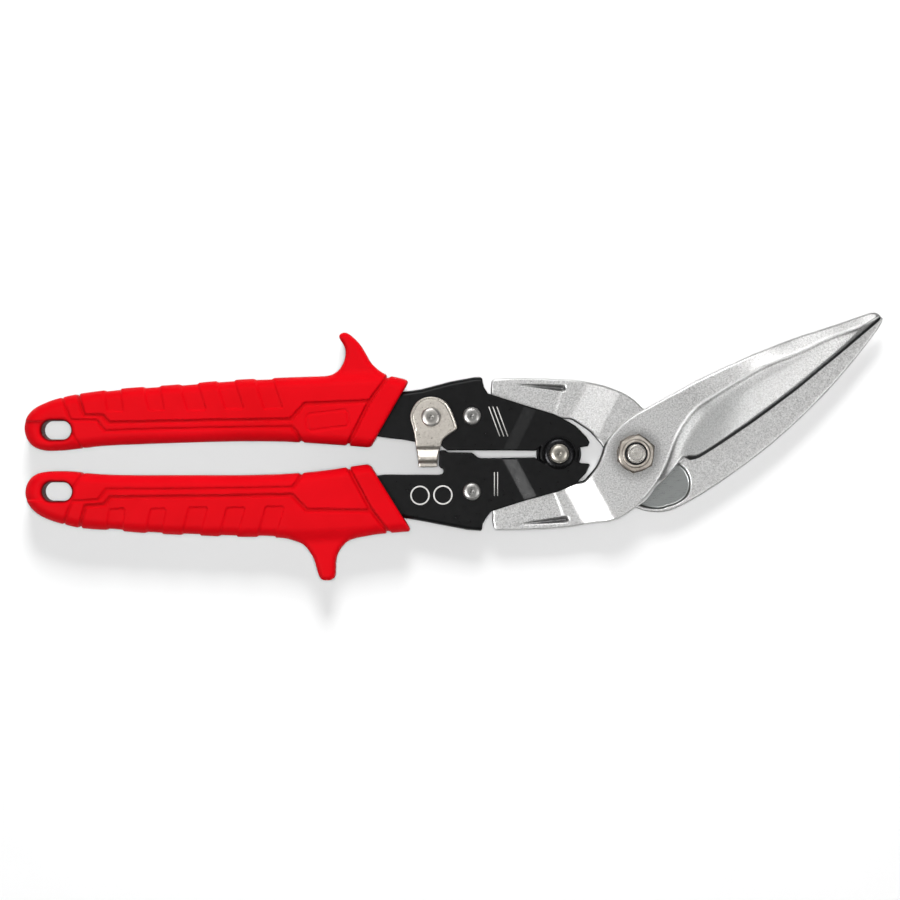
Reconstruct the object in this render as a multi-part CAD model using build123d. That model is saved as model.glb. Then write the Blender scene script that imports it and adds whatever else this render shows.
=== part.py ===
from build123d import *
import os
from math import sin, cos, radians, degrees, atan2, hypot

# Compound-action aviation snips, closed, lying on their back.
# Frame: +Z up along the main pivot axis, +X toward the jaw tips, origin on the main
# pivot axis at the resting plane (underside of the pivot bolt head).  Millimetres.

# ---------------------------------------------------------------- driving dimensions
MID = 8.5                      # height of the tool's mid-plane above the resting plane
GRIP_T = 17.0                  # grip thickness
HORN_T = 13.0                  # finger guard thickness
TAIL_H = 2.3                   # half thickness of a blade tail
BLADE_T = 5.0                  # blade thickness at the pivot and jaw
SHEET = 2.0                    # handle sheet thickness
IN_Z = 2.4                     # inner face of the handle sheets over the blade tails
NEST_IN = 1.4                  # inner face of the upper handle sheets at the centre rivet
NEST_OUT = 3.5                 # inner face of the lower handle sheets at the centre rivet
FACE_GAP = 0.02                # half the gap between the two blades' faces

A = (-61.1, 14.1)              # upper handle to lower-jaw blade rivet
B = (-61.1, -14.1)             # lower handle to upper-jaw blade rivet
P1 = (-28.5, 0.0)              # centre rivet joining the two handles
P0 = (0.0, 0.0)                # main pivot bolt
LATCH_C = (-76.35, 13.65)      # latch rivet

BOLT_R = 4.0                   # M8 pivot bolt
BOLT_TOP = 12.4                # bolt end above the mid-plane
NUT_AF = 13.0
NUT_TOP = 11.4
NUT_TURN = 21.7                # one nut corner's bearing, degrees
HEAD_H = 3.5                   # low bolt head
HEAD_AF = 13.0
RUN = 0.06                     # running clearance, radial
A_SLACK = 0.35                 # radial slack at the one opened pivot, A
CENTRE_R = 2.5                 # centre rivet shank
TAIL_RIVET_R = 2.3             # blade rivet shanks
LATCH_RIVET_R = 2.2
EYE_LOWER_R = 6.2              # rivet eye of the lower handle
EYE_UPPER_R = 7.2              # rivet eye of the upper handle
TAIL_EYE_R = 6.8               # eye of each blade tail
SPRING_R = 7.75                # return spring mean coil radius
WIRE_R = 0.65
LATCH_T = 1.6
LATCH_Z = 5.7                  # underside of the latch plate above the mid-plane

HOLE_UP = (-216.2, 8.75)       # lanyard hole centres, length and width
HOLE_LO = (-215.9, -14.2)
HOLE_L, HOLE_W = 11.4, 7.4

# ---------------------------------------------------------------- plan outlines, mm
UPPER_GRIP_BODY = [
    (-85.01, 27.41), (-79.01, 25.35), (-74.51, 20.48), (-74.14, 12.6), (-78.64, 5.85), (-86.14, 2.48),
    (-96.64, 1.95), (-100.39, 2.33), (-106.01, 2.85), (-109.76, 3.15), (-124.39, 4.12), (-132.26, 4.5),
    (-148.38, 4.58), (-170.51, 4.05), (-199.01, 2.92), (-208.01, 1.87), (-215.51, 1.12), (-220.76, 1.2),
    (-224.51, 2.4), (-226.99, 4.72), (-228.3, 8.1), (-228.26, 11.1), (-226.99, 14.29), (-224.7, 16.73),
    (-221.51, 18.49), (-217.01, 20.25), (-209.13, 22.12), (-200.51, 23.4), (-191.13, 24.41), (-180.26,
    25.2), (-166.76, 26.17), (-157.76, 27), (-143.88, 27.9), (-129.26, 28.5), (-118.01, 28.87), (-108.64,
    29.03), (-100.76, 29.25), (-94.01, 29.25), (-89.51, 28.58)]
LOWER_GRIP_BODY = [
    (-102.19, -4.28), (-95.51, -3.71), (-88.01, -3.9), (-78.64, -6.15), (-71.51, -13.65), (-70.76, -20.4),
    (-74.51, -26.4), (-79.76, -28.57), (-85.01, -29.14), (-89.89, -29.51), (-94.39, -29.96), (-103.01,
    -30.52), (-110.51, -30.98), (-119.89, -31.42), (-130.01, -31.57), (-139.38, -31.2), (-149.13, -31.13),
    (-161.88, -30.67), (-173.13, -30.23), (-185.51, -29.55), (-194.51, -28.73), (-206.51, -27.9), (-214.01,
    -26.32), (-220.01, -24.38), (-224.13, -21.98), (-226.91, -18.71), (-228.11, -15.15), (-227.51, -11.59),
    (-225.78, -9), (-223.01, -7.39), (-219.63, -6.75), (-215.51, -6.6), (-209.51, -6.83), (-204.26, -7.5),
    (-193.01, -8.06), (-166.76, -8.1), (-142.76, -8.03), (-125.89, -7.31), (-114.26, -6.08), (-107.89, -5.1)]
UPPER_GRIP_END = [
    (-84.82, 26.85), (-96.03, 7.35)]
LOWER_GRIP_END = [
    (-98.85, -4.65), (-84.67, -27.34)]
UPPER_GRIP_HORN = [
    (-115.76, 23.85), (-112.39, 29.1), (-110.14, 32.1), (-108.67, 35.1), (-108.3, 38.29), (-109.01, 40.54),
    (-110.51, 42.98), (-110.66, 44.1), (-110.02, 44.85), (-109.01, 45.23), (-107.7, 45.04), (-106.01,
    43.95), (-103.12, 41.1), (-100.76, 37.35), (-98.89, 34.12), (-96.45, 31.54), (-94.39, 28.91), (-92.89,
    23.1), (-103.01, 20.1)]
LOWER_GRIP_HORN = [
    (-95.51, -19.27), (-97.01, -27.15), (-100.76, -29.63), (-103.76, -30.67), (-106.76, -32.14), (-108.78,
    -33.9), (-111, -36.9), (-111.94, -39.9), (-112.09, -42.9), (-112.24, -45.71), (-113.14, -46.99),
    (-115.39, -47.4), (-117.26, -46.95), (-118.24, -45.52), (-119.14, -42.71), (-120.03, -39.71), (-121.39,
    -37.13), (-124.09, -33.9), (-128.13, -31.35), (-131.51, -27.15), (-129.26, -20.4), (-112.39, -17.4)]
UPPER_FRAME_OUT = [
    (-203.8, 17.05), (-192.59, 18.54), (-162.69, 21.16), (-125.32, 22.84), (-102.9, 23.03), (-89.82, 22.88),
    (-84.96, 23.4), (-80.1, 24.07), (-68.89, 27.03), (-60.29, 28.59), (-57.82, 28.63), (-57.23, 28.07),
    (-56.55, 24.9), (-55.99, 23.96), (-55.06, 22.54), (-42.02, 18.35), (-30.58, 14.92), (-25.91, 12.56),
    (-22.21, 10.36), (-18.43, 6.58), (-17.01, 4.27), (-17.61, 2.73), (-20.3, 2.36), (-21.61, 1.91)]
UPPER_FRAME_IN = [
    (-35.4, 1.16), (-37.12, 1.09), (-70.19, 1.24), (-71.32, 1.91), (-73, 3.59), (-74.49, 4.12), (-82.71,
    4.38), (-85.97, 5.09), (-92.81, 5.87), (-99.16, 6.77), (-110.37, 8.82), (-125.32, 9.57), (-162.69,
    9.39), (-192.59, 9.01), (-203.8, 9.57)]
LOWER_FRAME_OUT = [
    (-203.8, -21.07), (-192.59, -22.2), (-162.69, -24.81), (-125.32, -26.31), (-110.37, -26.08), (-96.17,
    -24.21), (-89.82, -23.84), (-84.21, -24.44), (-76.36, -25.93), (-62.61, -28.55), (-57.82, -28.92),
    (-57.23, -28.36), (-57.04, -26.31), (-55.43, -23.58), (-53.86, -21.67), (-42.02, -17.86), (-28.3,
    -14.05), (-22.21, -11.36), (-18.43, -7.25), (-17.01, -4.26), (-17.46, -3.7), (-20.3, -3.58), (-22.43,
    -2.24)]
LOWER_FRAME_IN = [
    (-34.13, -1.42), (-37.49, -1.45), (-57.67, -1.71), (-58.8, -1.42), (-61.04, 0.38), (-70.19, 0.53),
    (-70.94, 1.28), (-72.44, 1.35), (-73.3, 0.75), (-73.45, -4.63), (-72.81, -5.38), (-71.95, -5.75),
    (-71.65, -6.69), (-72.03, -7.54), (-73.37, -7.92), (-93.93, -7.84), (-99.16, -8.55), (-110.37, -10.98),
    (-125.32, -12.1), (-162.69, -12.85), (-192.59, -13.23), (-203.8, -13.97)]
UPPER_JOGGLE = [
    (-41.97, 17.43), (-49.07, 2.85)]
LOWER_JOGGLE = [
    (-49.65, -2.39), (-41.61, -17.48)]
LOWER_JOGGLE2 = [
    (-44.34, -2.61), (-35.94, -16.32)]
UPPER_JAW_PLAN = [
    (-53.47, -21.85), (-53.39, -24.4), (-52.94, -27.47), (-52.34, -28.37), (-51.18, -28.59), (-41.98,
    -28.59), (-26.71, -27.84), (-15.26, -25.93), (-9.9, -25.45), (-5.64, -23.91), (-0.02, -20.21), (4.39,
    -17.1), (8.43, -11.82), (12.51, -8.19), (16.14, -3.7), (17.19, -1.87), (18.16, -1.05), (19.44, -1.79),
    (20.56, -2.47), (22.24, -2.17), (24.68, -1.27), (33.62, 4.42), (44.96, 12.13), (53.12, 18.19), (61.2,
    24.29), (69.32, 31.03), (77.45, 37.69), (85.57, 44.58), (91.26, 49.44), (92.04, 50.38), (92.12, 51.27),
    (90.92, 52.44), (89.05, 52.96), (87.51, 52.62), (77.45, 49.18), (68.09, 46.07), (61.35, 43.94), (48.25,
    38.89), (38.15, 34.47), (23.93, 27.73), (11.2, 20.81), (3.34, 16.54), (-0.77, 14.19), (-5.34, 10.74),
    (-9.16, 6.59), (-11.44, 3.37), (-12.6, -0.33), (-14.51, -4.53), (-17.24, -8.01), (-19.3, -10.03),
    (-20.61, -11.37), (-23.6, -11.6), (-28.09, -10.25), (-35.58, -9.73), (-43.06, -9.13), (-51.3, -8.38),
    (-55.79, -8.01)]
UPPER_JAW_RAMP = [
    (-25.17, -14.86), (-19.11, -25.93)]
UPPER_JAW_RAMP2 = [
    (-15.36, -10.23), (-9.27, -23.19)]
UPPER_JAW_CREASE = [
    (3.02, -16.58), (7.47, -10.98), (11.43, -2.76), (13.97, 4.41), (17.22, 10.88), (22.07, 17.04), (28.54,
    21.52), (36.64, 26.38), (48.78, 33.18), (60.96, 38.03), (73.07, 43.71), (85.28, 48.16), (90.14, 50.66)]
LOWER_JAW_PLAN = [
    (-53.87, 21.99), (-53.87, 24.88), (-53.61, 26.87), (-53.12, 27.7), (-52.18, 27.96), (-41.49, 28.26),
    (-24.98, 27.66), (-21.22, 27.36), (-14.84, 26.27), (-11.47, 25.48), (-5.46, 23.3), (-0.58, 20.45),
    (3.55, 16.59), (7.67, 13.36), (12.55, 10.54), (18.56, 9.42), (24.56, 9.61), (33.57, 12.23), (45.2,
    18.43), (53.46, 23.68), (61.57, 29.12), (69.71, 34.94), (77.85, 40.94), (86, 46.95), (91.36, 51.04),
    (92.71, 51.11), (93.01, 50.14), (91.14, 46.57), (84.72, 38.13), (76.95, 28.75), (68.47, 19.51), (58.98,
    10.36), (47.83, 0.79), (36.2, -7.84), (28.31, -13.21), (23.44, -16.25), (15.93, -20.27), (11.8, -21.66),
    (8.05, -22.03), (3.55, -21.43), (0.17, -20.04), (-4.34, -16.66), (-8.09, -11.79), (-10.53, -5.41),
    (-11.24, -0.9), (-11.65, 1.95), (-13.57, 4.65), (-16.64, 8.11), (-20.47, 10.77), (-23.93, 12.76),
    (-27.23, 14.18), (-30.49, 15.46), (-36.23, 17.19), (-42.01, 18.91), (-45.24, 17.11), (-48.99, 13.73),
    (-52.37, 10.36), (-55.75, 8.29)]
LOWER_JAW_RAMP = [
    (-18.35, 26.06), (-24.71, 13.33)]
LOWER_JAW_RAMP2 = [
    (-6.64, 22.73), (-13.01, 6.6)]
RELIEF_POLY = [
    (12.11, -2.21), (12.11, -24.15), (-5.51, -26.77), (-13.76, -13.65), (-13.01, -3.15), (-1.76, 1.35)]
RELIEF_ARC_C = [
    (12.11, -11.4)]
LATCH_PLAN = [
    (-76.35, 21.24), (-73.18, 20.68), (-70.75, 19.19), (-69.19, 17.02), (-67.92, 14.04), (-66.57, 10.01),
    (-66.8, 9.11), (-68.89, 7.62), (-70.6, 6.35), (-72.1, 4.82), (-72.62, 2.84), (-73.59, -0.33), (-74.19,
    -4.99), (-80.83, -4.99), (-81.24, -1.86), (-81.95, 2.84), (-82.84, 8.44), (-83.96, 12.54), (-84.11,
    14.41), (-83.21, 17.02), (-81.5, 19.41), (-79.11, 20.75)]

# ---------------------------------------------------------------- helpers
def face_of(pts):
    return make_face(Polyline(*pts, close=True))


def prism(pts, z0, z1):
    return Pos(0, 0, MID + z0) * extrude(face_of(pts), z1 - z0, dir=(0, 0, 1))


def spline_prism(pts, z0, z1):
    f = make_face(Spline(*pts, periodic=True))
    return Pos(0, 0, MID + z0) * extrude(f, z1 - z0, dir=(0, 0, 1))


def rod(c, r, z0, z1):
    return Pos(c[0], c[1], MID + z0) * Cylinder(r, z1 - z0, align=(Align.CENTER, Align.CENTER, Align.MIN))


def hexagon(af, turn, z0, z1):
    r = af / 2 / cos(radians(30))
    pts = [(r * cos(radians(turn + 60 * i)), r * sin(radians(turn + 60 * i))) for i in range(6)]
    return prism(pts, z0, z1)


def band_frame(line):
    """Local frame of a bend line: u square to the line toward +X, v along it."""
    (x0, y0), (x1, y1) = line
    dx, dy = x1 - x0, y1 - y0
    n = hypot(dx, dy)
    ux, uy = dy / n, -dx / n
    if ux < 0:
        ux, uy = -ux, -uy
    return (x0, y0), (ux, uy)


def bent_sheet(line, prof):
    """Prism of a bent section (u, height above mid-plane), long in the bend line's direction."""
    (x0, y0), (ux, uy) = band_frame(line)
    pl = Plane(origin=(x0 + uy * -150, y0 + ux * 150, MID), x_dir=(ux, uy, 0), z_dir=(uy, -ux, 0))
    f = pl * face_of(prof)
    return extrude(f, 300, dir=(uy, -ux, 0))


def band_width(line, line2):
    (x0, y0), (ux, uy) = band_frame(line)
    mx = (line2[0][0] + line2[1][0]) / 2
    my = (line2[0][1] + line2[1][1]) / 2
    return (mx - x0) * ux + (my - y0) * uy


def arc_pts(c, r, a0, a1, n):
    return [(c[0] + r * cos(radians(a0 + (a1 - a0) * i / n)), c[1] + r * sin(radians(a0 + (a1 - a0) * i / n)))
            for i in range(n + 1)]


def dome(c, r, z, h, up=1):
    """Domed rivet head: short cylindrical rim and a spherical cap."""
    rim = 0.35
    cap = h - rim
    big = (r * r + cap * cap) / (2 * cap)
    f = make_face([Line((0, 0), (r, 0)), Line((r, 0), (r, rim)),
                   RadiusArc((r, rim), (0, h), -big), Line((0, h), (0, 0))])
    f = Plane.XZ * f
    s = revolve(f, Axis.Z, 360)
    if up < 0:
        s = Rot(180, 0, 0) * s
    return Pos(c[0], c[1], MID + z) * s


def save(shape, name):
    shape.label = name
    export_step(shape, "parts/" + name + ".step")


# ---------------------------------------------------------------- lower handle frame
def channel(outline, line, w, z_in2, web_pts):
    """Folded sheet channel: two plates that joggle from IN_Z to z_in2, and a web on the outer edge."""
    t = SHEET
    zmax = max(IN_Z, z_in2) + t
    front = bent_sheet(line, [(-260, IN_Z), (0, IN_Z), (w, z_in2), (90, z_in2), (90, z_in2 + t),
                              (w, z_in2 + t), (0, IN_Z + t), (-260, IN_Z + t)])
    back = bent_sheet(line, [(-260, -IN_Z), (0, -IN_Z), (w, -z_in2), (90, -z_in2), (90, -z_in2 - t),
                             (w, -z_in2 - t), (0, -IN_Z - t), (-260, -IN_Z - t)])
    plan = prism(outline, -zmax - 1, zmax + 1)
    web = prism(web_pts, -IN_Z - t, IN_Z + t)
    return (plan & front) + (plan & back) + web


# lower handle: the outer edge is the -Y edge, web from the tang's end to the channel corner
eye_lo = arc_pts(P1, EYE_LOWER_R, -21, 222, 26)
lower_outline = LOWER_FRAME_OUT[:-1] + eye_lo + LOWER_FRAME_IN[1:]
edge = LOWER_FRAME_OUT[:11]
web_lo = edge + [(x, y + SHEET) for x, y in reversed(edge)]
w_lo = band_width(LOWER_JOGGLE, LOWER_JOGGLE2)
lower_frame = channel(lower_outline, LOWER_JOGGLE, w_lo, NEST_OUT, web_lo)
lower_frame -= rod(P1, CENTRE_R, -9, 9)
lower_frame -= rod(B, TAIL_RIVET_R, -9, 9)

# upper handle: the outer edge is the +Y edge
eye_up = arc_pts(P1, EYE_UPPER_R, 15, -205, 26)
upper_outline = UPPER_FRAME_OUT[:-1] + eye_up + UPPER_FRAME_IN[1:]
edge = UPPER_FRAME_OUT[:11]
web_up = edge + [(x, y - SHEET) for x, y in reversed(edge)]
w_up = w_lo
upper_frame = channel(upper_outline, UPPER_JOGGLE, w_up, NEST_IN, web_up)
upper_frame -= rod(P1, CENTRE_R + RUN, -9, 9)
upper_frame -= rod(A, TAIL_RIVET_R, -9, 9)
upper_frame -= rod(LATCH_C, LATCH_RIVET_R, -9, 9)


# ---------------------------------------------------------------- grips
def slot_cut(c):
    r = HOLE_W / 2
    return Pos(c[0], c[1], MID) * extrude(SlotOverall(HOLE_L, HOLE_W), 12, both=True)


def grip(body, horn, hole, frame_outline, line_cut):
    g = spline_prism(body, -GRIP_T / 2, GRIP_T / 2)
    rims = [e for e in g.edges() if abs(e.center().Z - MID) > GRIP_T / 2 - 0.1]
    g = fillet(rims, GRIP_R)
    (x0, y0), (ux, uy) = band_frame(line_cut)
    g -= Plane(origin=(x0, y0, MID), x_dir=(ux, uy, 0)) * Box(
        80, 200, 40, align=(Align.MIN, Align.CENTER, Align.CENTER))
    h = spline_prism(horn, -HORN_T / 2, HORN_T / 2)
    g = g + h
    g -= slot_cut(hole)
    # room for the handle's tang, closed round with the sheets touching the rubber
    g -= prism(frame_outline, -IN_Z - SHEET, IN_Z + SHEET)
    return g


GRIP_R = 3.2
lower_tang = [p for p in LOWER_FRAME_OUT[:9]] + [p for p in LOWER_FRAME_IN[14:]]
upper_tang = [p for p in UPPER_FRAME_OUT[:9]] + [p for p in UPPER_FRAME_IN[6:]]
lower_grip = grip(LOWER_GRIP_BODY, LOWER_GRIP_HORN, HOLE_LO, lower_tang, LOWER_GRIP_END)
upper_grip = grip(UPPER_GRIP_BODY, UPPER_GRIP_HORN, HOLE_UP, upper_tang, UPPER_GRIP_END)


# ---------------------------------------------------------------- blades
def blade(plan, line, line2, z_lo, z_hi):
    w = band_width(line, line2)
    lo, hi = z_lo, z_hi
    body = bent_sheet(line, [(-260, -TAIL_H), (0, -TAIL_H), (w, lo), (200, lo), (200, hi), (w, hi),
                             (0, TAIL_H), (-260, TAIL_H)])
    return prism(plan, -6, 6) & body


eye_b = arc_pts(B, TAIL_EYE_R, 90, 290, 20)
upper_jaw = blade(UPPER_JAW_PLAN[:-1] + eye_b, UPPER_JAW_RAMP, UPPER_JAW_RAMP2, FACE_GAP, BLADE_T)
upper_jaw -= rod(P0, BOLT_R, -9, 9)
upper_jaw -= rod(B, TAIL_RIVET_R + RUN, -9, 9)

eye_a = arc_pts(A, TAIL_EYE_R, -90, -290, 20)
lower_jaw = blade(LOWER_JAW_PLAN[:-1] + eye_a, LOWER_JAW_RAMP, LOWER_JAW_RAMP2, -BLADE_T, -FACE_GAP)
relief = prism(RELIEF_POLY, -0.9, 1) + rod(RELIEF_ARC_C[0], 8.9, -0.9, 1)
relief -= rod(P0, 9.7, -2, 2)
lower_jaw -= relief
lower_jaw -= rod(P0, BOLT_R + RUN, -9, 9)
lower_jaw -= rod(A, TAIL_RIVET_R + A_SLACK, -9, 9)

# hollow face of the upper jaw between the crease and the cutting edge
hollow = UPPER_JAW_CREASE + [(105, 60), (120, 20), (60, -20), (20, -20), (6, -24)]
upper_jaw -= prism(hollow, 3.6, 6)

# ---------------------------------------------------------------- main pivot
pivot_bolt = hexagon(HEAD_AF, 12, -BLADE_T - HEAD_H, -BLADE_T) + rod(P0, BOLT_R, -BLADE_T, BOLT_TOP)
pivot_nut = hexagon(NUT_AF, NUT_TURN, BLADE_T, NUT_TOP) - rod(P0, BOLT_R, 0, 20)
insert_z = NUT_TOP - 1.6
pivot_nut -= rod(P0, 5.0, insert_z, 20)
locknut_insert = rod(P0, 5.0, insert_z, NUT_TOP) - rod(P0, BOLT_R, 0, 20)
bt = pivot_bolt.faces().sort_by(Axis.Z)[-1]
pivot_bolt = chamfer(bt.edges(), 0.8)

# ---------------------------------------------------------------- rivets, washers, sleeve
def rivet(c, r, z0, z1, head_r, h0, h1):
    return rod(c, r, z0, z1) + dome(c, head_r, z1, h1) + dome(c, head_r, z0, h0, -1)


zr = NEST_OUT + SHEET
WASH_T = 0.8
centre_rivet = rivet(P1, CENTRE_R, -zr - WASH_T, zr + WASH_T, 3.65, 1.6, 2.0)
washer_front = rod(P1, 4.9, zr, zr + WASH_T) - rod(P1, CENTRE_R, -9, 9)
washer_back = rod(P1, 4.9, -zr - WASH_T, -zr) - rod(P1, CENTRE_R, -9, 9)
sleeve = rod(P1, 6.4, -NEST_IN + 0.02, NEST_IN - 0.02) - rod(P1, CENTRE_R, -9, 9)
zt = IN_Z + SHEET
upper_rivet = rivet(A, TAIL_RIVET_R, -zt, zt, 3.35, 1.5, 1.7)
lower_rivet = rivet(B, TAIL_RIVET_R, -zt, zt, 3.35, 1.5, 1.7)
latch_rivet = rivet(LATCH_C, LATCH_RIVET_R, -zt, LATCH_Z + LATCH_T + 0.05, 3.7, 1.5, 1.6)
latch_washer = rod(LATCH_C, 4.4, zt, LATCH_Z - 0.05) - rod(LATCH_C, LATCH_RIVET_R, -9, 9)

# ---------------------------------------------------------------- return spring
# two turns of wire round the sleeve, one leg in each handle's channel
def spring():
    coil = Torus(SPRING_R, WIRE_R)
    lo = Pos(P1[0], P1[1], MID - WIRE_R - 0.02) * coil
    hi = Pos(P1[0], P1[1], MID + WIRE_R + 0.02 - 0.06) * coil
    s = lo + hi
    a = radians(115)
    c0 = (P1[0] + SPRING_R * cos(a), P1[1] + SPRING_R * sin(a))
    up = Polyline((c0[0], c0[1], MID + WIRE_R - 0.04), (-47.5, 5.6, MID + WIRE_R - 0.04),
                  (-51.0, 6.4, MID + WIRE_R - 0.04))
    c1 = (P1[0] + SPRING_R * cos(a), P1[1] - SPRING_R * sin(a))
    dn = Polyline((c1[0], c1[1], MID - WIRE_R - 0.02), (-48.5, -6.2, MID - WIRE_R - 0.02),
                  (-51.5, -6.8, MID - WIRE_R - 0.02))
    for path in (up, dn):
        pl = Plane(origin=path @ 0, z_dir=path % 0)
        s = s + sweep(pl * Circle(WIRE_R), path=path, transition=Transition.ROUND)
    return s


return_spring = spring()

# ---------------------------------------------------------------- latch
# folded plate: flat round the rivet, sloping tab, thumb ridge and a hook bent back
LATCH_Y = [22.5, 8.95, 3.0, 1.1, -1.4, -2.15, -3.35, -3.7]
z = LATCH_Z
sec = [(22.5, z + 1.6), (8.95, z + 1.6), (3.0, z + 1.0), (1.1, z + 0.45), (-1.4, z + 1.55), (-2.15, z + 1.5),
       (-3.35, z + 0.5), (-4.85, z + 0.2), (-4.85, -1.0), (-3.45, -1.0), (-3.45, z - 1.1), (-2.6, z - 0.5),
       (-1.9, z - 0.05), (-1.0, z - 0.1), (1.1, z - 1.1), (3.0, z - 0.6), (8.95, z), (22.5, z)]
pl = Plane(origin=(-110, 0, MID), x_dir=(0, 1, 0), z_dir=(1, 0, 0))
latch = extrude(pl * face_of(sec), 60, dir=(1, 0, 0)) & prism(LATCH_PLAN, -3, 12)
latch -= rod(LATCH_C, LATCH_RIVET_R + RUN, -9, 20)

# ---------------------------------------------------------------- write the parts
save(lower_frame, "lower_handle_frame")
save(upper_frame, "upper_handle_frame")
save(lower_grip, "lower_grip")
save(upper_grip, "upper_grip")
save(upper_jaw, "upper_jaw_blade")
save(lower_jaw, "lower_jaw_blade")
save(pivot_bolt, "pivot_bolt")
save(pivot_nut, "pivot_nut")
save(locknut_insert, "locknut_insert")
save(centre_rivet, "centre_pivot_rivet")
save(washer_front, "centre_washer_front")
save(washer_back, "centre_washer_back")
save(sleeve, "centre_spacer_sleeve")
save(upper_rivet, "upper_blade_rivet")
save(lower_rivet, "lower_blade_rivet")
save(latch_rivet, "latch_rivet")
save(latch_washer, "latch_spacer_washer")
save(return_spring, "return_spring")
save(latch, "latch")
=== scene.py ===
import bpy, math
import numpy as np
from mathutils import Vector, Matrix


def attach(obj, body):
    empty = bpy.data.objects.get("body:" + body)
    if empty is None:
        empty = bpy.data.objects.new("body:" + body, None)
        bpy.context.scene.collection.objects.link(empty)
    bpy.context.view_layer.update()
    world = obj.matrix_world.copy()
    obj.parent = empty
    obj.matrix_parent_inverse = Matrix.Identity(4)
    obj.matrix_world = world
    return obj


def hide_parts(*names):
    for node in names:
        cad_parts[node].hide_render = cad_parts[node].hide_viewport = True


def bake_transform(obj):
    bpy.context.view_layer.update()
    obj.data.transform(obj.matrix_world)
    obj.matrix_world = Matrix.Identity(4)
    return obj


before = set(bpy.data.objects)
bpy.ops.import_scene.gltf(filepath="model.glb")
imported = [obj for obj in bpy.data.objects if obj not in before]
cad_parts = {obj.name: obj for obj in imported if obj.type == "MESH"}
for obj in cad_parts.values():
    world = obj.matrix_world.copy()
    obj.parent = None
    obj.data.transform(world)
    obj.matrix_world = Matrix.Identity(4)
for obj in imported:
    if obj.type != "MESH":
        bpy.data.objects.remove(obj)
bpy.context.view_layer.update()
MID = 8.5                       # mid-plane height above the resting plane, mm
A = (-61.1, 14.1); B = (-61.1, -14.1); P1 = (-28.5, 0.0); P0 = (0.0, 0.0); LATCH_C = (-76.35, 13.65)
HOLE_UP = (-216.2, 8.75); HOLE_LO = (-215.9, -14.2)
IN_Z, NEST_IN, NEST_OUT, SHEET, TAIL_H, BLADE_T = 2.4, 1.4, 3.5, 2.0, 2.3, 5.0

# ------------------------------------------------------------------ camera, light, floor
cam_data = bpy.data.cameras.new("cam")
cam_data.sensor_width = 36.0
cam_data.lens = 138.67
cam = bpy.data.objects.new("cam", cam_data)
bpy.context.scene.collection.objects.link(cam)
cam.location = (-0.06926, 0.00135, 1.3085)
bpy.context.scene.camera = cam
bpy.context.scene.view_settings.view_transform = 'Standard'
bpy.context.scene.view_settings.look = 'None'


def area(name, loc, target, size, power, diffuse=True, glossy=True, size_y=None, color=(1, 1, 1)):
    d = bpy.data.lights.new(name, 'AREA')
    d.shape = 'RECTANGLE'
    d.size = size
    d.size_y = size_y or size
    d.energy = power
    d.color = color
    o = bpy.data.objects.new(name, d)
    o.location = loc
    v = Vector(target) - Vector(loc)
    o.rotation_euler = v.to_track_quat('-Z', 'Y').to_euler()
    o.visible_camera = False
    o.visible_diffuse = diffuse
    o.visible_glossy = glossy
    bpy.context.scene.collection.objects.link(o)
    return o


MIDDLE = (-0.07, 0.0, 0.0)
area("front_fill", (-0.069, 0.0014, 1.34), MIDDLE, 0.16, 11.4, glossy=False)
area("key", (-0.10, 1.10, 0.86), MIDDLE, 0.50, 12.5, glossy=False)
area("overhead_box", (-0.07, 0.05, 1.45), MIDDLE, 0.90, 0.77, diffuse=False)
area("left_box", (-0.60, -0.28, 1.17), (-0.03, -0.02, 0.0), 0.38, 5.6, diffuse=False)
area("right_box", (0.64, -0.36, 1.08), (0.02, 0.0, 0.0), 0.24, 0.6, diffuse=False)
area("far_right_box", (0.46, -0.15, 1.20), (0.02, 0.0, 0.0), 0.24, 0.85, diffuse=False)
area("back_box", (-0.18, 0.66, 1.08), (0.04, 0.03, 0.0), 0.46, 3.2, diffuse=False, size_y=0.32)
world = bpy.data.worlds.new("world")
bpy.context.scene.world = world
world.use_nodes = True
world.node_tree.nodes["Background"].inputs[0].default_value = (1, 1, 1, 1)
world.node_tree.nodes["Background"].inputs[1].default_value = 0.17

# ------------------------------------------------------------------ outlines in the row frame, mm
UPPER_GRIP_BODY = [
    (-85.01, 27.41), (-79.01, 25.35), (-74.51, 20.48), (-74.14, 12.6), (-78.64, 5.85), (-86.14, 2.48),
    (-96.64, 1.95), (-100.39, 2.33), (-106.01, 2.85), (-109.76, 3.15), (-124.39, 4.12), (-132.26, 4.5),
    (-148.38, 4.58), (-170.51, 4.05), (-199.01, 2.92), (-208.01, 1.87), (-215.51, 1.12), (-220.76, 1.2),
    (-224.51, 2.4), (-226.99, 4.72), (-228.3, 8.1), (-228.26, 11.1), (-226.99, 14.29), (-224.7, 16.73),
    (-221.51, 18.49), (-217.01, 20.25), (-209.13, 22.12), (-200.51, 23.4), (-191.13, 24.41), (-180.26,
    25.2), (-166.76, 26.17), (-157.76, 27), (-143.88, 27.9), (-129.26, 28.5), (-118.01, 28.87), (-108.64,
    29.03), (-100.76, 29.25), (-94.01, 29.25), (-89.51, 28.58)]
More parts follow.
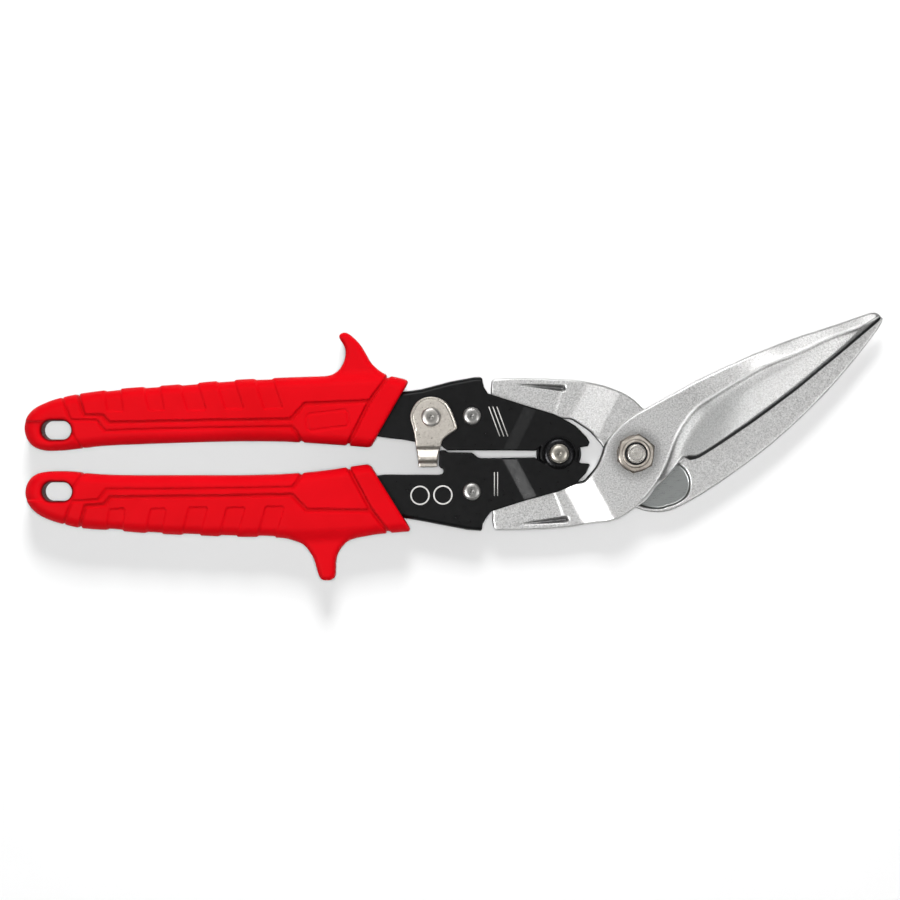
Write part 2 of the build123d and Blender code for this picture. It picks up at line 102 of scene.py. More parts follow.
LOWER_GRIP_BODY = [
    (-102.19, -4.28), (-95.51, -3.71), (-88.01, -3.9), (-78.64, -6.15), (-71.51, -13.65), (-70.76, -20.4),
    (-74.51, -26.4), (-79.76, -28.57), (-85.01, -29.14), (-89.89, -29.51), (-94.39, -29.96), (-103.01,
    -30.52), (-110.51, -30.98), (-119.89, -31.42), (-130.01, -31.57), (-139.38, -31.2), (-149.13, -31.13),
    (-161.88, -30.67), (-173.13, -30.23), (-185.51, -29.55), (-194.51, -28.73), (-206.51, -27.9), (-214.01,
    -26.32), (-220.01, -24.38), (-224.13, -21.98), (-226.91, -18.71), (-228.11, -15.15), (-227.51, -11.59),
    (-225.78, -9), (-223.01, -7.39), (-219.63, -6.75), (-215.51, -6.6), (-209.51, -6.83), (-204.26, -7.5),
    (-193.01, -8.06), (-166.76, -8.1), (-142.76, -8.03), (-125.89, -7.31), (-114.26, -6.08), (-107.89, -5.1)]
UPPER_GRIP_END = [
    (-84.82, 26.85), (-96.03, 7.35)]
LOWER_GRIP_END = [
    (-98.85, -4.65), (-84.67, -27.34)]
UPPER_GRIP_HORN = [
    (-115.76, 23.85), (-112.39, 29.1), (-110.14, 32.1), (-108.67, 35.1), (-108.3, 38.29), (-109.01, 40.54),
    (-110.51, 42.98), (-110.66, 44.1), (-110.02, 44.85), (-109.01, 45.23), (-107.7, 45.04), (-106.01,
    43.95), (-103.12, 41.1), (-100.76, 37.35), (-98.89, 34.12), (-96.45, 31.54), (-94.39, 28.91), (-92.89,
    23.1), (-103.01, 20.1)]
LOWER_GRIP_HORN = [
    (-95.51, -19.27), (-97.01, -27.15), (-100.76, -29.63), (-103.76, -30.67), (-106.76, -32.14), (-108.78,
    -33.9), (-111, -36.9), (-111.94, -39.9), (-112.09, -42.9), (-112.24, -45.71), (-113.14, -46.99),
    (-115.39, -47.4), (-117.26, -46.95), (-118.24, -45.52), (-119.14, -42.71), (-120.03, -39.71), (-121.39,
    -37.13), (-124.09, -33.9), (-128.13, -31.35), (-131.51, -27.15), (-129.26, -20.4), (-112.39, -17.4)]
UPPER_FRAME_OUT = [
    (-203.8, 17.05), (-192.59, 18.54), (-162.69, 21.16), (-125.32, 22.84), (-102.9, 23.03), (-89.82, 22.88),
    (-84.96, 23.4), (-80.1, 24.07), (-68.89, 27.03), (-60.29, 28.59), (-57.82, 28.63), (-57.23, 28.07),
    (-56.55, 24.9), (-55.99, 23.96), (-55.06, 22.54), (-42.02, 18.35), (-30.58, 14.92), (-25.91, 12.56),
    (-22.21, 10.36), (-18.43, 6.58), (-17.01, 4.27), (-17.61, 2.73), (-20.3, 2.36), (-21.61, 1.91)]
UPPER_FRAME_IN = [
    (-35.4, 1.16), (-37.12, 1.09), (-70.19, 1.24), (-71.32, 1.91), (-73, 3.59), (-74.49, 4.12), (-82.71,
    4.38), (-85.97, 5.09), (-92.81, 5.87), (-99.16, 6.77), (-110.37, 8.82), (-125.32, 9.57), (-162.69,
    9.39), (-192.59, 9.01), (-203.8, 9.57)]
LOWER_FRAME_OUT = [
    (-203.8, -21.07), (-192.59, -22.2), (-162.69, -24.81), (-125.32, -26.31), (-110.37, -26.08), (-96.17,
    -24.21), (-89.82, -23.84), (-84.21, -24.44), (-76.36, -25.93), (-62.61, -28.55), (-57.82, -28.92),
    (-57.23, -28.36), (-57.04, -26.31), (-55.43, -23.58), (-53.86, -21.67), (-42.02, -17.86), (-28.3,
    -14.05), (-22.21, -11.36), (-18.43, -7.25), (-17.01, -4.26), (-17.46, -3.7), (-20.3, -3.58), (-22.43,
    -2.24)]
LOWER_FRAME_IN = [
    (-34.13, -1.42), (-37.49, -1.45), (-57.67, -1.71), (-58.8, -1.42), (-61.04, 0.38), (-70.19, 0.53),
    (-70.94, 1.28), (-72.44, 1.35), (-73.3, 0.75), (-73.45, -4.63), (-72.81, -5.38), (-71.95, -5.75),
    (-71.65, -6.69), (-72.03, -7.54), (-73.37, -7.92), (-93.93, -7.84), (-99.16, -8.55), (-110.37, -10.98),
    (-125.32, -12.1), (-162.69, -12.85), (-192.59, -13.23), (-203.8, -13.97)]
UPPER_JOGGLE = [
    (-41.97, 17.43), (-49.07, 2.85)]
LOWER_JOGGLE = [
    (-49.65, -2.39), (-41.61, -17.48)]
LOWER_JOGGLE2 = [
    (-44.34, -2.61), (-35.94, -16.32)]
UPPER_JAW_PLAN = [
    (-53.47, -21.85), (-53.39, -24.4), (-52.94, -27.47), (-52.34, -28.37), (-51.18, -28.59), (-41.98,
    -28.59), (-26.71, -27.84), (-15.26, -25.93), (-9.9, -25.45), (-5.64, -23.91), (-0.02, -20.21), (4.39,
    -17.1), (8.43, -11.82), (12.51, -8.19), (16.14, -3.7), (17.19, -1.87), (18.16, -1.05), (19.44, -1.79),
    (20.56, -2.47), (22.24, -2.17), (24.68, -1.27), (33.62, 4.42), (44.96, 12.13), (53.12, 18.19), (61.2,
    24.29), (69.32, 31.03), (77.45, 37.69), (85.57, 44.58), (91.26, 49.44), (92.04, 50.38), (92.12, 51.27),
    (90.92, 52.44), (89.05, 52.96), (87.51, 52.62), (77.45, 49.18), (68.09, 46.07), (61.35, 43.94), (48.25,
    38.89), (38.15, 34.47), (23.93, 27.73), (11.2, 20.81), (3.34, 16.54), (-0.77, 14.19), (-5.34, 10.74),
    (-9.16, 6.59), (-11.44, 3.37), (-12.6, -0.33), (-14.51, -4.53), (-17.24, -8.01), (-19.3, -10.03),
    (-20.61, -11.37), (-23.6, -11.6), (-28.09, -10.25), (-35.58, -9.73), (-43.06, -9.13), (-51.3, -8.38),
    (-55.79, -8.01)]
UPPER_JAW_RAMP = [
    (-25.17, -14.86), (-19.11, -25.93)]
UPPER_JAW_RAMP2 = [
    (-15.36, -10.23), (-9.27, -23.19)]
UPPER_JAW_CREASE = [
    (3.02, -16.58), (7.47, -10.98), (11.43, -2.76), (13.97, 4.41), (17.22, 10.88), (22.07, 17.04), (28.54,
    21.52), (36.64, 26.38), (48.78, 33.18), (60.96, 38.03), (73.07, 43.71), (85.28, 48.16), (90.14, 50.66)]
LOWER_JAW_PLAN = [
    (-53.87, 21.99), (-53.87, 24.88), (-53.61, 26.87), (-53.12, 27.7), (-52.18, 27.96), (-41.49, 28.26),
    (-24.98, 27.66), (-21.22, 27.36), (-14.84, 26.27), (-11.47, 25.48), (-5.46, 23.3), (-0.58, 20.45),
    (3.55, 16.59), (7.67, 13.36), (12.55, 10.54), (18.56, 9.42), (24.56, 9.61), (33.57, 12.23), (45.2,
    18.43), (53.46, 23.68), (61.57, 29.12), (69.71, 34.94), (77.85, 40.94), (86, 46.95), (91.36, 51.04),
    (92.71, 51.11), (93.01, 50.14), (91.14, 46.57), (84.72, 38.13), (76.95, 28.75), (68.47, 19.51), (58.98,
    10.36), (47.83, 0.79), (36.2, -7.84), (28.31, -13.21), (23.44, -16.25), (15.93, -20.27), (11.8, -21.66),
    (8.05, -22.03), (3.55, -21.43), (0.17, -20.04), (-4.34, -16.66), (-8.09, -11.79), (-10.53, -5.41),
    (-11.24, -0.9), (-11.65, 1.95), (-13.57, 4.65), (-16.64, 8.11), (-20.47, 10.77), (-23.93, 12.76),
    (-27.23, 14.18), (-30.49, 15.46), (-36.23, 17.19), (-42.01, 18.91), (-45.24, 17.11), (-48.99, 13.73),
    (-52.37, 10.36), (-55.75, 8.29)]
LOWER_JAW_RAMP = [
    (-18.35, 26.06), (-24.71, 13.33)]
LOWER_JAW_RAMP2 = [
    (-6.64, 22.73), (-13.01, 6.6)]
RELIEF_POLY = [
    (12.11, -2.21), (12.11, -24.15), (-5.51, -26.77), (-13.76, -13.65), (-13.01, -3.15), (-1.76, 1.35)]
RELIEF_ARC_C = [
    (12.11, -11.4)]
LATCH_PLAN = [
    (-76.35, 21.24), (-73.18, 20.68), (-70.75, 19.19), (-69.19, 17.02), (-67.92, 14.04), (-66.57, 10.01),
    (-66.8, 9.11), (-68.89, 7.62), (-70.6, 6.35), (-72.1, 4.82), (-72.62, 2.84), (-73.59, -0.33), (-74.19,
    -4.99), (-80.83, -4.99), (-81.24, -1.86), (-81.95, 2.84), (-82.84, 8.44), (-83.96, 12.54), (-84.11,
    14.41), (-83.21, 17.02), (-81.5, 19.41), (-79.11, 20.75)]
G_THICK = [
    (-209.15, 25.19), (-207.89, 21.28), (-205.65, 14.39), (-198.61, 14.13), (-196.3, 11.45), (-173.57, 11.97),
    (-151.22, 12.41), (-128.64, 12.68), (-123.28, 18.49), (-98.99, 19.49)]
G_THIN = [
    (-214.93, 23.33), (-213.77, 19.83), (-210.57, 12.45), (-200.96, 12.38), (-197.75, 8.43), (-173.57, 9.21),
    (-147.5, 9.7), (-128.27, 9.84), (-126.6, 8.02), (-123.65, 2.1)]
G_COLLAR = [
    (-90.87, 30.78), (-92.99, 27.95), (-98.36, 20.65), (-99.66, 18.64), (-108.38, 1.16)]
G_HOLE_R = [
    (-211.39, 9.55), (-206.17, 1.35)]
G_HOLE_L = [
    (-229.46, 10.44), (-223.38, 10.78), (-220.51, 12.34)]
SLOT_0 = [
    (-198.26, 25.96), (-196.47, 15.74), (-191.33, 15.74), (-192.89, 26.33)]
SLOT_1 = [
    (-183.87, 27.45), (-181, 16.11), (-176, 16.19), (-178.5, 27.82)]
SLOT_2 = [
    (-170.45, 28.19), (-166.72, 16.04), (-160.46, 16.34), (-164.48, 28.57)]
SLOT_3 = [
    (-156.54, 29.31), (-152.59, 16.52), (-146.51, 16.79), (-150.8, 29.69)]
SLOT_4 = [
    (-142.49, 30.43), (-138.09, 16.56), (-131.97, 16.93), (-136.78, 30.8)]
PANEL_FRONT = [
    (-48.67, -16.62), (-39.31, -13.62), (-29.21, -14), (-25.01, -24.63), (-32.58, -25.68), (-44.03, -26.8),
    (-48.67, -26.91)]
PANEL_BACK = [
    (-48.67, 25.68), (-45.68, 26.21), (-38.56, 25.98), (-25.91, 24.93), (-28.83, 14.83), (-35.57, 14.83),
    (-48.67, 19.32)]
CREASE_BACK = [
    (2.26, 20.17), (7.91, 14.9), (10.55, 8.13), (12.8, 0.6), (16.19, -6.18), (21.09, -9.57), (33.13, -3.17),
    (43.67, 5.11), (54.59, 14.53), (63.62, 23.56), (72.28, 32.97), (80.56, 41.63), (88.85, 49.35), (93.36,
    51.79)]
EDGE_FRONT = [
    (19.92, -2.21), (22.36, -2.17), (24.79, -1.27), (33.75, 4.42), (45.1, 12.14), (53.27, 18.21), (61.36,
    24.32), (69.5, 31.06), (77.63, 37.73), (85.76, 44.63), (91.45, 49.5), (92.99, 50.81)]
EDGE_BACK = [
    (20.81, 9.53), (24.56, 9.61), (33.57, 12.23), (45.2, 18.43), (53.46, 23.68), (61.57, 29.12), (69.71, 34.94),
    (77.85, 40.94), (86, 46.95), (91.36, 51.04), (92.71, 51.64)]
MARK_RING_1 = [
    (-80.47, -15.62)]
MARK_RING_2 = [
    (-71.91, -15.47)]
MARK_UP = [
    (-55.06, 18.54), (-50.95, 5.46)]
MARK_LO = [
    (-52.07, -6.12), (-52.07, -16.59)]
H_THICK = [
    (-208.29, -30.42), (-207.15, -26.47), (-205.12, -19.51), (-198.09, -19.03), (-195.87, -16.28), (-173.14,
    -16.09), (-150.78, -15.85), (-128.21, -15.41), (-122.67, -21.05), (-98.36, -21.3)]
H_THIN = [
    (-214.12, -28.73), (-213.07, -25.2), (-210.1, -17.72), (-200.49, -17.35), (-197.41, -13.3), (-173.22,
    -13.34), (-147.14, -13.01), (-127.92, -12.57), (-126.31, -10.69), (-123.55, -4.68)]
H_COLLAR = [
    (-89.89, -32.34), (-92.1, -29.57), (-97.69, -22.44), (-99.05, -20.47), (-108.31, -3.27)]
H_HOLE_R = [
    (-211.01, -14.84), (-206.05, -6.49)]
H_HOLE_L = [
    (-229.04, -16.3), (-222.96, -16.45), (-220.05, -17.92)]
HSLOT_0 = [
    (-197.38, -30.85), (-195.91, -20.58), (-190.77, -20.42), (-192, -31.05)]
HSLOT_1 = [
    (-182.95, -31.89), (-180.43, -20.47), (-175.44, -20.39), (-177.57, -32.1)]
HSLOT_2 = [
    (-169.51, -32.22), (-166.16, -19.95), (-159.89, -20.06), (-163.54, -32.41)]
HSLOT_3 = [
    (-155.58, -32.91), (-152.02, -20), (-145.94, -20.07), (-149.83, -33.1)]
HSLOT_4 = [
    (-141.49, -33.59), (-137.53, -19.59), (-131.4, -19.77), (-135.78, -33.79)]

# ------------------------------------------------------------------ implicit shape tools
def smooth_loop(pts, n=6, keep=()):
    """Closed centripetal-like Catmull-Rom through the points; indices in keep stay sharp."""
    P = np.asarray(pts, float)
    N = len(P)
    out = []
    for i in range(N):
        p0, p1, p2, p3 = P[(i - 1) % N], P[i], P[(i + 1) % N], P[(i + 2) % N]
        l = np.linalg.norm(p2 - p1)
        m1 = (p2 - p0) / max(np.linalg.norm(p2 - p0), 1e-9) * l
        m2 = (p3 - p1) / max(np.linalg.norm(p3 - p1), 1e-9) * l
        if i in keep:
            m1 = p2 - p1
        if (i + 1) % N in keep:
            m2 = p2 - p1
        for k in range(n):
            t = k / n
            out.append((2 * t ** 3 - 3 * t ** 2 + 1) * p1 + (t ** 3 - 2 * t ** 2 + t) * m1
                       + (-2 * t ** 3 + 3 * t ** 2) * p2 + (t ** 3 - t ** 2) * m2)
    return np.array(out)


def smooth_path(pts, n=6):
    P = np.asarray(pts, float)
    N = len(P)
    out = []
    for i in range(N - 1):
        p0, p1, p2, p3 = P[max(i - 1, 0)], P[i], P[i + 1], P[min(i + 2, N - 1)]
        l = np.linalg.norm(p2 - p1)
        m1 = (p2 - p0) / max(np.linalg.norm(p2 - p0), 1e-9) * l
        m2 = (p3 - p1) / max(np.linalg.norm(p3 - p1), 1e-9) * l
        for k in range(n):
            t = k / n
            out.append((2 * t ** 3 - 3 * t ** 2 + 1) * p1 + (t ** 3 - 2 * t ** 2 + t) * m1
                       + (-2 * t ** 3 + 3 * t ** 2) * p2 + (t ** 3 - t ** 2) * m2)
    out.append(P[-1])
    return np.array(out)


def sd_poly(P, X, Y):
    """Signed distance to a closed polygon, negative inside."""
    P = np.asarray(P, float)
    n = len(P)
    d = np.full(X.shape, 1e12)
    s = np.zeros(X.shape, bool)
    for i in range(n):
        ax, ay = P[i]
        bx, by = P[(i + 1) % n]
        ex, ey = bx - ax, by - ay
        wx, wy = X - ax, Y - ay
        t = np.clip((wx * ex + wy * ey) / (ex * ex + ey * ey + 1e-12), 0, 1)
        dx, dy = wx - ex * t, wy - ey * t
        d = np.minimum(d, dx * dx + dy * dy)
        c = (ay > Y) != (by > Y)
        xi = ax + (Y - ay) * ex / (ey if ey != 0 else 1e-12)
        s ^= c & (X < xi)
    return np.sqrt(d) * np.where(s, -1.0, 1.0)


def d_path(P, X, Y, signed=False):
    """Distance to an open path; signed is positive on its right-hand side."""
    P = np.asarray(P, float)
    d = np.full(X.shape, 1e12)
    sg = np.ones(X.shape)
    for i in range(len(P) - 1):
        ax, ay = P[i]
        bx, by = P[i + 1]
        ex, ey = bx - ax, by - ay
        wx, wy = X - ax, Y - ay
        t = np.clip((wx * ex + wy * ey) / (ex * ex + ey * ey + 1e-12), 0, 1)
        dx, dy = wx - ex * t, wy - ey * t
        q = dx * dx + dy * dy
        m = q < d
        d = np.where(m, q, d)
        if signed:
            sg = np.where(m, np.where(ex * wy - ey * wx < 0, 1.0, -1.0), sg)
    d = np.sqrt(d)
    return d * sg if signed else d


def sstep(a, b, x):
    t = np.clip((x - a) / (b - a), 0, 1)
    return t * t * (3 - 2 * t)


def smin(a, b, k):
    h = np.clip(0.5 + 0.5 * (b - a) / k, 0, 1)
    return b + (a - b) * h - k * h * (1 - h)


def smax(a, b, k):
    return -smin(-a, -b, k)


def round_and(a, b, r):
    """Intersection of two fields with a true rounded edge of radius r."""
    return np.sqrt(np.maximum(a + r, 0) ** 2 + np.maximum(b + r, 0) ** 2) + np.minimum(np.maximum(a, b) + r, 0) - r


class Grid:
    def __init__(self, x0, x1, y0, y1, z0, z1, h):
        self.h = h
        self.o = np.array([x0, y0, z0], float)
        self.x = np.arange(x0, x1 + h, h)
        self.y = np.arange(y0, y1 + h, h)
        self.z = np.arange(z0, z1 + h, h)
        self.X, self.Y = np.meshgrid(self.x, self.y, indexing='ij')
        self.Z = self.z[None, None, :]


def sample(F, q):
    """Trilinear value and gradient of F at fractional grid positions q."""
    i = np.clip(np.floor(q).astype(int), 0, np.array(F.shape) - 2)
    t = q - i
    x, y, z = i[:, 0], i[:, 1], i[:, 2]
    c = [[[F[x + a, y + b, z + d] for d in (0, 1)] for b in (0, 1)] for a in (0, 1)]
    u, v, w = t[:, 0], t[:, 1], t[:, 2]

    def lerp(a, b, s):
        return a + (b - a) * s
    x00 = lerp(c[0][0][0], c[1][0][0], u); x10 = lerp(c[0][1][0], c[1][1][0], u)
    x01 = lerp(c[0][0][1], c[1][0][1], u); x11 = lerp(c[0][1][1], c[1][1][1], u)
    y0 = lerp(x00, x10, v); y1 = lerp(x01, x11, v)
    val = lerp(y0, y1, w)
    gz = y1 - y0
    gy = lerp(x10 - x00, x11 - x01, w)
    z00 = lerp(c[0][0][0], c[0][0][1], w); z10 = lerp(c[1][0][0], c[1][0][1], w)
    z01 = lerp(c[0][1][0], c[0][1][1], w); z11 = lerp(c[1][1][0], c[1][1][1], w)
    gx = lerp(z10 - z00, z11 - z01, v)
    return val, np.stack([gx, gy, gz], 1)


def surface(F, g, steps=3):
    """Surface nets of F < 0, each vertex then moved onto the surface. Returns verts in mm and quads."""
    s = F < 0
    nx, ny, nz = F.shape
    acc_any = np.zeros((nx - 1, ny - 1, nz - 1), bool)
    acc_all = np.ones((nx - 1, ny - 1, nz - 1), bool)
    for a in (0, 1):
        for b in (0, 1):
            for c in (0, 1):
                v = s[a:nx - 1 + a, b:ny - 1 + b, c:nz - 1 + c]
                acc_any |= v
                acc_all &= v
    act = acc_any & ~acc_all
    ijk = np.argwhere(act)
    idx = np.full(act.shape, -1, np.int64)
    idx[act] = np.arange(len(ijk))
    pos = np.zeros((len(ijk), 3))
    cnt = np.zeros(len(ijk))
    corners = [np.array((a, b, c)) for a in (0, 1) for b in (0, 1) for c in (0, 1)]
    for ca in corners:
        for ax in range(3):
            if ca[ax]:
                continue
            cb = ca.copy(); cb[ax] = 1
            pa, pb = ijk + ca, ijk + cb
            fa = F[pa[:, 0], pa[:, 1], pa[:, 2]]
            fb = F[pb[:, 0], pb[:, 1], pb[:, 2]]
            m = (fa < 0) != (fb < 0)
            t = np.where(m, fa / np.where(m, fa - fb, 1), 0)
            p = ca[None, :] + (cb - ca)[None, :] * t[:, None]
            pos += np.where(m[:, None], p, 0)
            cnt += m
    q = ijk + pos / cnt[:, None]
    for _ in range(steps):
        val, gr = sample(F, q)
        n2 = (gr ** 2).sum(1)
        st = -(val / np.maximum(n2, 1e-6))[:, None] * gr
        l = np.linalg.norm(st, axis=1)
        st *= np.minimum(1, 0.35 / np.maximum(l, 1e-9))[:, None]
        q = np.clip(q + st, 0.001, np.array(F.shape) - 1.001)
    quads = []
    # x edges
    for ax in range(3):
        e = np.swapaxes(s, 0, ax)[:-1] != np.swapaxes(s, 0, ax)[1:]
        e = np.swapaxes(e, 0, ax)
        I = np.argwhere(e)
        o1, o2 = [k for k in range(3) if k != ax]
        ok = (I[:, o1] > 0) & (I[:, o2] > 0) & (I[:, o1] < F.shape[o1] - 1) & (I[:, o2] < F.shape[o2] - 1)
        I = I[ok]
        def cell(d1, d2):
            J = I.copy(); J[:, o1] -= d1; J[:, o2] -= d2
            return idx[J[:, 0], J[:, 1], J[:, 2]]
        quad = np.stack([cell(0, 0), cell(1, 0), cell(1, 1), cell(0, 1)], 1)
        inside_first = s[I[:, 0], I[:, 1], I[:, 2]]
        flip = inside_first if ax != 1 else ~inside_first
        quad[~flip] = quad[~flip][:, ::-1]
        quads.append(quad)
    quads = np.concatenate(quads)
    quads = quads[(quads >= 0).all(1)]
    return g.o + q * g.h, quads


def add_mesh(name, verts_mm, faces, body, node_names=(), smooth=True, material=None):
    me = bpy.data.meshes.new(name)
    v = np.asarray(verts_mm, np.float32) * 0.001
    v = v + np.array([0, 0, MID * 0.001], np.float32)
    f = np.asarray(faces)
    me.vertices.add(len(v))
    me.vertices.foreach_set("co", v.ravel())
    n, k = f.shape
    me.loops.add(n * k)
    me.loops.foreach_set("vertex_index", f.ravel().astype(np.int32))
    me.polygons.add(n)
    me.polygons.foreach_set("loop_start", np.arange(0, n * k, k, dtype=np.int32))
    me.polygons.foreach_set("loop_total", np.full(n, k, np.int32))
    me.update(calc_edges=True)
    me.validate()
    if smooth:
        me.polygons.foreach_set("use_smooth", np.ones(len(me.polygons), bool))
    ob = bpy.data.objects.new(name, me)
    bpy.context.scene.collection.objects.link(ob)
    if material:
        me.materials.append(material)
    if body:
        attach(ob, body)
    if node_names:
        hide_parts(*node_names)
    return ob


def attr(ob, name, values):
    a = ob.data.attributes.new(name, 'FLOAT', 'POINT')
    a.data.foreach_set("value", np.asarray(values, np.float32))


def interp2(g, field, v):
    """Field on the grid's plan, read at vertex positions."""
    fx = np.clip((v[:, 0] - g.x[0]) / g.h, 0, len(g.x) - 1.001)
    fy = np.clip((v[:, 1] - g.y[0]) / g.h, 0, len(g.y) - 1.001)
    i, j = fx.astype(int), fy.astype(int)
    t, u = fx - i, fy - j
    return (field[i, j] * (1 - t) * (1 - u) + field[i + 1, j] * t * (1 - u)
            + field[i, j + 1] * (1 - t) * u + field[i + 1, j + 1] * t * u)


def band(line):
    (x0, y0), (x1, y1) = line
    dx, dy = x1 - x0, y1 - y0
    n = math.hypot(dx, dy)
    ux, uy = dy / n, -dx / n
    if ux < 0:
        ux, uy = -ux, -uy
    return x0, y0, ux, uy


def band_u(line, X, Y):
    x0, y0, ux, uy = band(line)
    return (X - x0) * ux + (Y - y0) * uy


def arc(c, r, a0, a1, n):
    return [(c[0] + r * math.cos(math.radians(a0 + (a1 - a0) * i / n)),
             c[1] + r * math.sin(math.radians(a0 + (a1 - a0) * i / n))) for i in range(n + 1)]


# ------------------------------------------------------------------ materials
def new_mat(name):
    m = bpy.data.materials.new(name)
    m.use_nodes = True
    nt = m.node_tree
    for n in list(nt.nodes):
        nt.nodes.remove(n)
    out = nt.nodes.new("ShaderNodeOutputMaterial")
    b = nt.nodes.new("ShaderNodeBsdfPrincipled")
    nt.links.new(b.outputs[0], out.inputs[0])
    tc = nt.nodes.new("ShaderNodeTexCoord")
    mp = nt.nodes.new("ShaderNodeMapping")
    mp.inputs["Scale"].default_value = (1000, 1000, 1000)      # object space in mm
    nt.links.new(tc.outputs["Object"], mp.inputs[0])
    return m, nt, b, mp.outputs[0]


def N(nt, kind, **kw):
    n = nt.nodes.new(kind)
    for k, v in kw.items():
        setattr(n, k, v)
    return n


def noise(nt, vec, scale, detail=3, rough=0.6, dist=0.0):
    n = N(nt, "ShaderNodeTexNoise")
    n.inputs["Scale"].default_value = scale
    n.inputs["Detail"].default_value = detail
    n.inputs["Roughness"].default_value = rough
    n.inputs["Distortion"].default_value = dist
    nt.links.new(vec, n.inputs["Vector"])
    return n.outputs["Fac"]


def ramp(nt, fac, stops):
    r = N(nt, "ShaderNodeValToRGB")
    el = r.color_ramp.elements
    while len(el) < len(stops):
        el.new(0.5)
    for e, (p, c) in zip(el, stops):
        e.position = p
        e.color = tuple(c) + (1,) if len(c) == 3 else c
    nt.links.new(fac, r.inputs[0])
    return r.outputs[0]


def maprange(nt, fac, a, b, c, d):
    r = N(nt, "ShaderNodeMapRange")
    for i, v in enumerate((a, b, c, d)):
        r.inputs[1 + i].default_value = v
    nt.links.new(fac, r.inputs[0])
    return r.outputs[0]


def math_node(nt, op, a, b=None, c=None):
    m = N(nt, "ShaderNodeMath", operation=op)
    for i, v in enumerate((a, b, c)):
        if v is None:
            continue
        if isinstance(v, (int, float)):
            m.inputs[i].default_value = v
        else:
            nt.links.new(v, m.inputs[i])
    return m.outputs[0]


def mixc(nt, fac, a, b):
    m = N(nt, "ShaderNodeMix", data_type='RGBA')
    if isinstance(fac, (int, float)):
        m.inputs[0].default_value = fac
    else:
        nt.links.new(fac, m.inputs[0])
    for i, v in ((6, a), (7, b)):
        if isinstance(v, tuple):
            m.inputs[i].default_value = v + (1,) if len(v) == 3 else v
        else:
            nt.links.new(v, m.inputs[i])
    return m.outputs[2]


def bump(nt, h, dist, strength=1.0, prev=None):
    b = N(nt, "ShaderNodeBump")
    b.inputs["Strength"].default_value = strength
    b.inputs["Distance"].default_value = dist
    nt.links.new(h, b.inputs["Height"])
    if prev is not None:
        nt.links.new(prev, b.inputs["Normal"])
    return b.outputs[0]


def attribute(nt, name):
    a = N(nt, "ShaderNodeAttribute", attribute_name=name)
    return a.outputs["Fac"]


def rubber():
    m, nt, b, v = new_mat("red_rubber")
    big = noise(nt, v, 0.045, 3, 0.55)
    fine = noise(nt, v, 2.6, 2, 0.5)
    c = ramp(nt, big, [(0.30, (0.62, 0.0008, 0.0045)), (0.70, (0.69, 0.0013, 0.0066))])
    # painted shade: darker red in the carved grooves, standing in for the shade inside them
    gv = attribute(nt, "groove")
    c = mixc(nt, gv, c, (0.46, 0.0004, 0.0022))
    # painted shadow: the lanyard hole's inner wall is coloured near-black for the shade deep inside it
    c = mixc(nt, attribute(nt, "hole"), c, (0.075, 0.0004, 0.0009))
    nt.links.new(c, b.inputs["Base Color"])
    r = maprange(nt, fine, 0.3, 0.7, 0.44, 0.58)
    nt.links.new(r, b.inputs["Roughness"])
    b.inputs["Specular IOR Level"].default_value = 0.06
    n1 = bump(nt, fine, 0.00006, 0.55)
    n2 = bump(nt, noise(nt, v, 0.55, 3, 0.6), 0.00012, 0.35, n1)
    nt.links.new(n2, b.inputs["Normal"])
    return m


def black_sheet():
    m, nt, b, v = new_mat("black_sheet")
    fine = noise(nt, v, 3.2, 3, 0.6)
    mid = noise(nt, v, 0.5, 4, 0.6)
    c = ramp(nt, mid, [(0.3, (0.0016, 0.0017, 0.0019)), (0.7, (0.0031, 0.0032, 0.0035))])
    nt.links.new(c, b.inputs["Base Color"])
    r = maprange(nt, mid, 0.3, 0.7, 0.27, 0.35)
    nt.links.new(r, b.inputs["Roughness"])
    b.inputs["Specular IOR Level"].default_value = 0.235
    n1 = bump(nt, fine, 0.00003, 0.3)
    nt.links.new(bump(nt, mid, 0.00008, 0.2, n1), b.inputs["Normal"])
    return m


